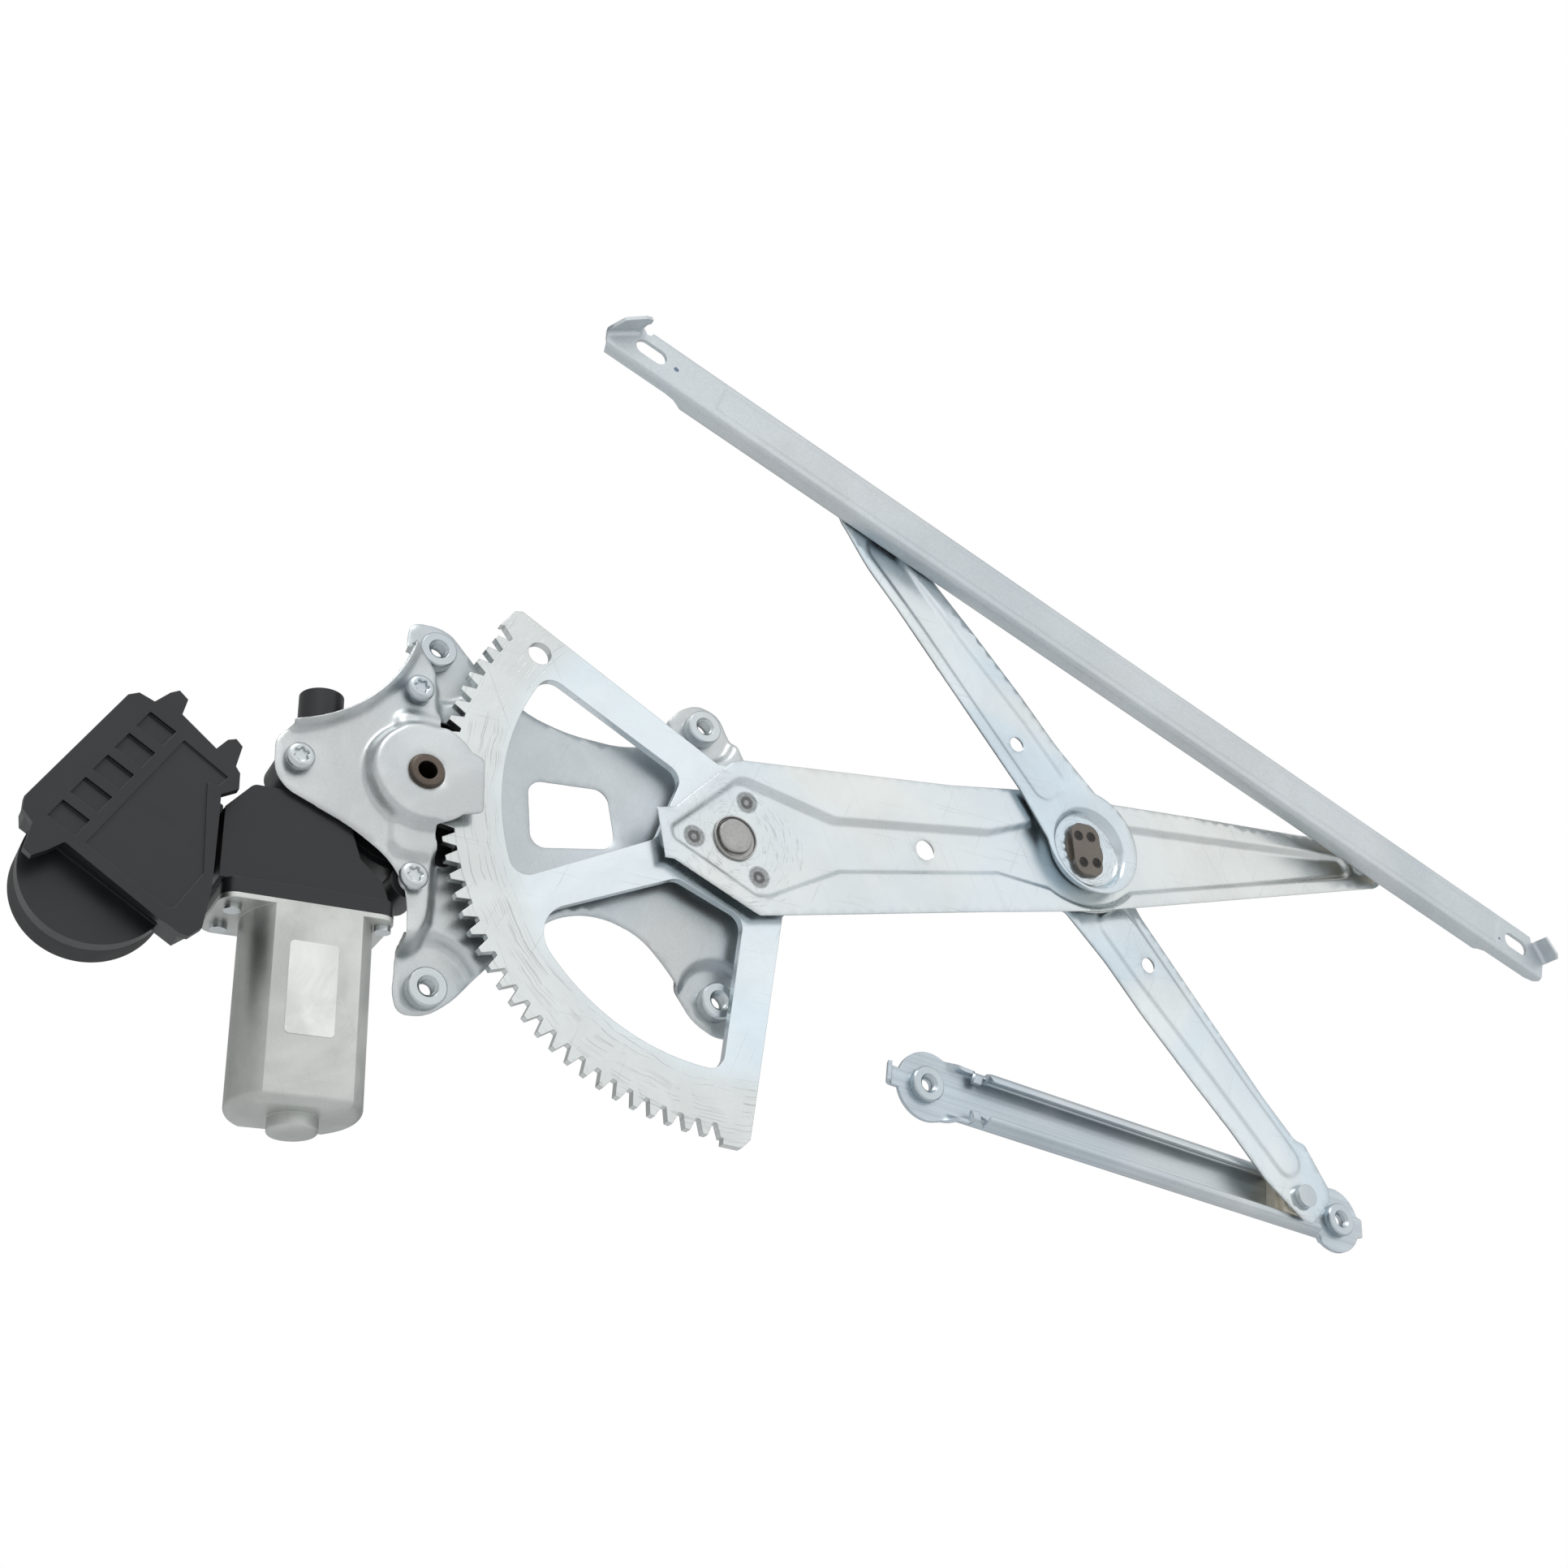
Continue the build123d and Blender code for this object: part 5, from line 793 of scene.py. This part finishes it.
def simple_pressing(node, body, material, shaped=None, wanted=None):
    """A one-layer pressing from its solid: the same outline and levels, with every step a soft bend."""
    cell = 0.35 * MM
    points, faces = front_faces(node)
    heights, low = relief_map(points, faces, cell)
    soft = softened(heights, 0.8 * MM / cell)
    bend = np.hypot(*np.gradient(soft)) / cell

    def lively(spots):
        bent = looked_up(bend, low, cell, spots) > BENT
        return bent if wanted is None else bent | wanted(spots)

    verts, tris, gap = filled(outline_edges(points, faces), 0.6 * MM, COARSE, lively)
    levels = looked_up(soft, low, cell, verts)
    if shaped is not None:
        levels = levels + shaped(verts)
    sheet_metal(node, [(verts, tris, gap, levels)], body, material)


weld_places = [around(PIVOT, WELD_RING, angle) for angle in (93, 210, 327.5)]


def near_welds(spots):
    """The distance of each spot from the nearest weld."""
    return np.min([np.hypot(spots[:, 0] - x * MM, spots[:, 1] - z * MM) for x, z in weld_places], axis=0)


def weld_dents(spots):
    """Shallow dents where the electrodes pressed."""
    away = near_welds(spots) / MM
    return (-0.35 * np.exp(-(away / 2.1) ** 2) + 0.10 * np.exp(-((away - 3.6) / 0.8) ** 2)) * MM


lift_zinc = plated("lift_zinc", (222, 225, 223), (216, 224, 228), 0.31, edge=(160, 158, 150),
                   swirls=[(PIVOT, 8.0, 27.0, 3400.0)], spots=[(place, 4.4) for place in weld_places],
                   Cloud=0.5, Grain=0.3, Scratch=0.55, Stain=0.25)
simple_pressing("lift_arm", "lift", lift_zinc, weld_dents, lambda spots: near_welds(spots) < 5.0 * MM)
arm_zinc = plated("arm_zinc", (224, 229, 229), (206, 219, 227), 0.28, edge=(160, 158, 150),
                  swirls=[(CROSS, 6.0, 15.5, 2600.0)], Cloud=0.6, Grain=0.3, Scratch=0.55, Stain=0.2)
simple_pressing("equalizer_upper_arm", "equalizer", arm_zinc)
simple_pressing("equalizer_lower_arm", "equalizer", arm_zinc)
key_steel = plated("key_steel", (128, 120, 112), (118, 112, 106), 0.40, edge=(60, 56, 52), metallic=0.85,
                   Cloud=1.0, Grain=1.4, Scratch=0.2)
dress(key_steel, "cross_pivot")
punch_rings = [(2.15, 18.9), (2.1, 19.15), (1.75, 19.25), (1.45, 19.05), (1.3, 19.03), (0.85, 19.04),
               (0.7, 19.18), (0.45, 19.22), (0.02, 19.15), (0.02, 18.9)]
punched = plated("punched_steel", (58, 54, 52), (66, 64, 62), 0.36, edge=(150, 146, 142),
                 Cloud=1.0, Grain=1.0)
set_out("punch_marks", turned_form("punch_mark", punch_rings, steps=28),
        [(*around(CROSS, PUNCH_RING, angle), 0.0) for angle in (88.0, 146.0, -30.0, -92.0)],
        "equalizer", [], punched, angle=50)
dress(nut_zinc, "lift_pin", "upper_pin", "lower_pin")
dress(natural, "lift_slider", "upper_slider", "lower_slider")


# ---- glass rail: galvanised strip, punched flat and roll-formed into a channel that is open backwards ----
# A shallow panel stiffens its face, a slot and an ear at each end take the glass holders, and the corners are
# bent forward as stops. Two dabs of paint mark the fit.
RAIL_SHEET = 1.5
RAIL_FACE = 29.5  # height of the rail's face
RAIL_LINE = 121.36  # the rail's centre line, above the frame's origin
CORNER_BEND = 1.5  # radius at which the corners are bent forward


def folded_sheet(node, outline, holes, fold, fine, coarse, lively, body, material):
    """A flat blank with its holes, filled with points and folded point by point into a channel."""
    loops = [np.array(loop) * MM for loop in (outline, *holes)]
    verts, tris, _ = filled(loops, fine * MM, coarse * MM, lambda p: lively(p / MM), 0.2 * MM)
    shape = bmesh.new()
    points = [shape.verts.new(place) for place in fold(verts / MM) * MM]
    for tri in tris.tolist():
        shape.faces.new([points[at] for at in tri])
    gauged(node + "_channel", shape, RAIL_SHEET, body, [node], material)


def wrapped(across, flat, radius, first, wall, second=math.pi / 2):
    """Where a strip's point goes when its side is bent twice: the way across, and the rise of the side."""
    side, reach = np.sign(across), np.abs(across) - flat
    turn = np.clip(reach / radius, 0.0, first)
    out = flat + np.minimum(reach, 0.0) + radius * np.sin(turn)
    rise = radius * (1 - np.cos(turn))
    left = np.clip(reach - radius * first, 0.0, wall)
    out, rise = out + left * np.cos(first), rise + left * np.sin(first)
    reach = np.maximum(reach - radius * first - wall, 0.0)
    turn = np.clip(reach / radius, 0.0, second)
    out = out + radius * (np.sin(first + turn) - np.sin(first))
    rise = rise + radius * (np.cos(first) - np.cos(first + turn))
    left = np.maximum(reach - radius * second, 0.0)
    return side * (out + left * np.cos(first + second)), rise + left * np.sin(first + second)


def slot_line(x, y, long, wide, parts=14):
    """The line round a slot or, with the two sizes equal, a hole."""
    line = []
    for way, start in ((1, -math.pi / 2), (-1, math.pi / 2)):
        for k in range(parts + 1):
            angle = start + math.pi * k / parts
            middle = x + way * (long - wide) / 2
            line.append((middle + wide / 2 * math.cos(angle), y + wide / 2 * math.sin(angle)))
    return [q for at, q in enumerate(line) if at == 0 or math.dist(q, line[at - 1]) > 1e-6]


rail_zinc = plated("rail_zinc", (206, 211, 213), (200, 207, 211), 0.46, edge=(160, 162, 162),
                   spots=[((-71.5, 121.0), 1.0), ((362.3, 118.5), 0.9)], spot_tone=(30, 74, 120),
                   Cloud=0.5, Grain=1.3, Scratch=0.15, Stain=0.15)
rail_corners = [(np.array([-121.5, -4.5]), np.array([-0.7071, 0.7071])),
                (np.array([357.8, 6.0]), np.array([0.7071, 0.7071]))]  # a point on each bend, and its way out
rail_blank = [
    (-121.5, -13.4), (-94.0, -13.4), (-90.0, -13.9), (-87.2, -15.4), (-85.6, -17.0), (-85.0, -22.2),
    (330.0, -22.2), (330.6, -17.0), (332.0, -15.0), (335.0, -13.6), (359.0, -13.4), (363.0, -12.4),
    (364.8, -10.4), (365.3, -8.0), (365.3, -1.5), (370.5, 3.7), (369.9, 5.8), (363.2, 11.3),
    (358.1, 6.3), (357.2, 7.2), (356.9, 9.8), (355.4, 11.2), (348.0, 11.4), (345.4, 10.9),
    (342.5, 13.4), (-95.0, 13.4), (-98.4, 10.9), (-101.0, 11.4), (-106.6, 11.3), (-108.6, 10.2),
    (-109.2, 7.2), (-110.6, 6.4), (-116.4, 11.8), (-119.2, 10.4), (-125.3, 3.4), (-125.0, -0.9),
]


def past_panel(x, u):
    """How far a point of the blank lies outside the edge of the shallow panel."""
    return np.maximum(np.abs(x - 131.5) - 206.0, np.abs(u - 0.4) - 6.0)


def fold_glass_rail(flat):
    """Folds the rail's blank: two flanges backwards, their lips inwards, and both corners forwards."""
    x, u = flat[:, 0], flat[:, 1]
    across, drop = wrapped(u, 7.85, 2.4, math.pi / 2, 3.5)
    panel = np.clip(0.5 - past_panel(x, u) / 1.4, 0.0, 1.0)
    level = RAIL_FACE - drop - 0.45 * panel * panel * (3 - 2 * panel)
    for corner, out in rail_corners:
        beyond = (flat - corner) @ out
        lifted = (beyond > 0) & (np.abs(x - corner[0]) < 20.0) & (np.abs(x - 122.0) > 236.4)
        turn = np.clip(beyond / CORNER_BEND, 0.0, math.pi / 2)
        shift = CORNER_BEND * np.sin(turn) - beyond
        ear = CORNER_BEND * (1 - np.cos(turn)) + np.maximum(beyond - CORNER_BEND * math.pi / 2, 0.0)
        x = np.where(lifted, x + shift * out[0], x)
        across = np.where(lifted, u + shift * out[1], across)
        level = np.where(lifted, RAIL_FACE + ear, level)
    return np.column_stack([x + PIVOT[0], -level, across + RAIL_LINE])


def rail_bends(flat):
    """Where the rail's blank needs its points close together."""
    x, u = flat[:, 0], np.abs(flat[:, 1])
    sides = ((u > 7.4) & (u < 12.2)) | ((u > 14.6) & (u < 19.6))
    return sides | (np.abs(past_panel(x, flat[:, 1])) < 1.6) | (x < -105.0) | (x > 354.0)


folded_sheet("glass_rail", rail_blank, [slot_line(x, 0.0, 13.3, 7.0) for x in (-106.2, 348.8)],
             fold_glass_rail, 0.9, 5.0, rail_bends, "glass_rail", rail_zinc)


# ---- guide rail: galvanised strip folded into a channel, with a flat disc and a weld nut at each end ----
# Two pairs of small stops are crimped in beside the left disc, and the end tabs hook behind the door panel.
GUIDE_PIN = (292.0, -41.3)  # the slider's pin, from which the rail is measured
GUIDE_SLOPE = math.radians(12.83)
GUIDE_FLOOR = -0.5  # height of the channel's floor, in front of the door panel
DISC = 12.8  # radius of the end discs
TAB_X, TAB_BEND, TAB_TURN = -181.6, 2.2, 1.2  # where, how tightly and how far the left tab turns up
NUT_PLACES = ((-168.2, 0.8), (27.0, 2.2))  # along the rail, with the turn of each nut
guide_zinc = plated("guide_zinc", (206, 211, 213), (188, 198, 205), 0.34, edge=(150, 150, 150),
                    Turn=GUIDE_SLOPE, Cloud=0.6, Grain=0.5, Scratch=0.1, Streak=0.7)


def half_blank():
    """One side of the guide rail's blank, from its left tab to its right one."""
    left_disc = [around((-166.9, 0.0), DISC, angle) for angle in range(164, 58, -6)]
    right_disc = [around((25.7, 0.0), DISC, angle) for angle in range(122, 15, -6)]
    side = [(-158.0, 11.3), (-150.6, 11.2), (-150.2, 13.6), (-146.8, 13.6), (-146.4, 11.2), (-144.3, 11.2),
            (-143.8, 14.4), (-143.0, 15.2), (11.4, 15.2), (12.2, 14.4), (12.8, 11.2), (16.5, 10.8)]
    return [(-186.5, 3.5), *left_disc, *side, *right_disc, (40.5, 3.5)]


def along_guide(x, across=0.0):
    """A place along and across the guide rail, in the part's own frame."""
    return (GUIDE_PIN[0] + x * math.cos(GUIDE_SLOPE) - across * math.sin(GUIDE_SLOPE),
            GUIDE_PIN[1] + x * math.sin(GUIDE_SLOPE) + across * math.cos(GUIDE_SLOPE))


def fold_guide_rail(flat):
    """Folds the guide rail's blank: walls and lips forwards along the channel, and the left tab's end up."""
    x, u = flat[:, 0], flat[:, 1]
    share = np.clip((x + 162.0) / 9.0, 0.0, 1.0) * np.clip((19.0 - x) / 6.0, 0.0, 1.0)
    first = np.maximum(share * share * (3 - 2 * share), 1e-4) * math.pi / 2
    wall = np.select([x > 12.5, x > -144.0, x > -150.4], [6.0, 2.8, 0.0], 6.0)
    across, rise = wrapped(u, 7.55, 1.2, first, wall)
    past = np.maximum(TAB_X - x, 0.0)
    turn = np.clip(past / TAB_BEND, 0.0, TAB_TURN)
    rest = np.maximum(past - TAB_BEND * TAB_TURN, 0.0)
    x = np.where(past > 0, TAB_X - TAB_BEND * np.sin(turn) - rest * math.cos(TAB_TURN), x)
    level = GUIDE_FLOOR + rise + TAB_BEND * (1 - np.cos(turn)) + rest * math.sin(TAB_TURN)
    east, north = along_guide(x, across)
    return np.column_stack([east, -level, north])


upper_half = half_blank()
folded_sheet("guide_rail", upper_half + [(x, -y) for x, y in reversed(upper_half)],
             [slot_line(x, 0.0, 5.2, 5.2) for x, _ in NUT_PLACES], fold_guide_rail, 0.7, 4.0,
             lambda flat: (np.abs(flat[:, 1]) > 7.0) | (flat[:, 0] < -180.0), "guide_rail", guide_zinc)
set_out("guide_nuts", turned_form("guide_nut", collar_nut(-0.5, 3.0)),
        [(*along_guide(x), turn) for x, turn in NUT_PLACES],
        "guide_rail", ["guide_rail_nuts"], nut_zinc)
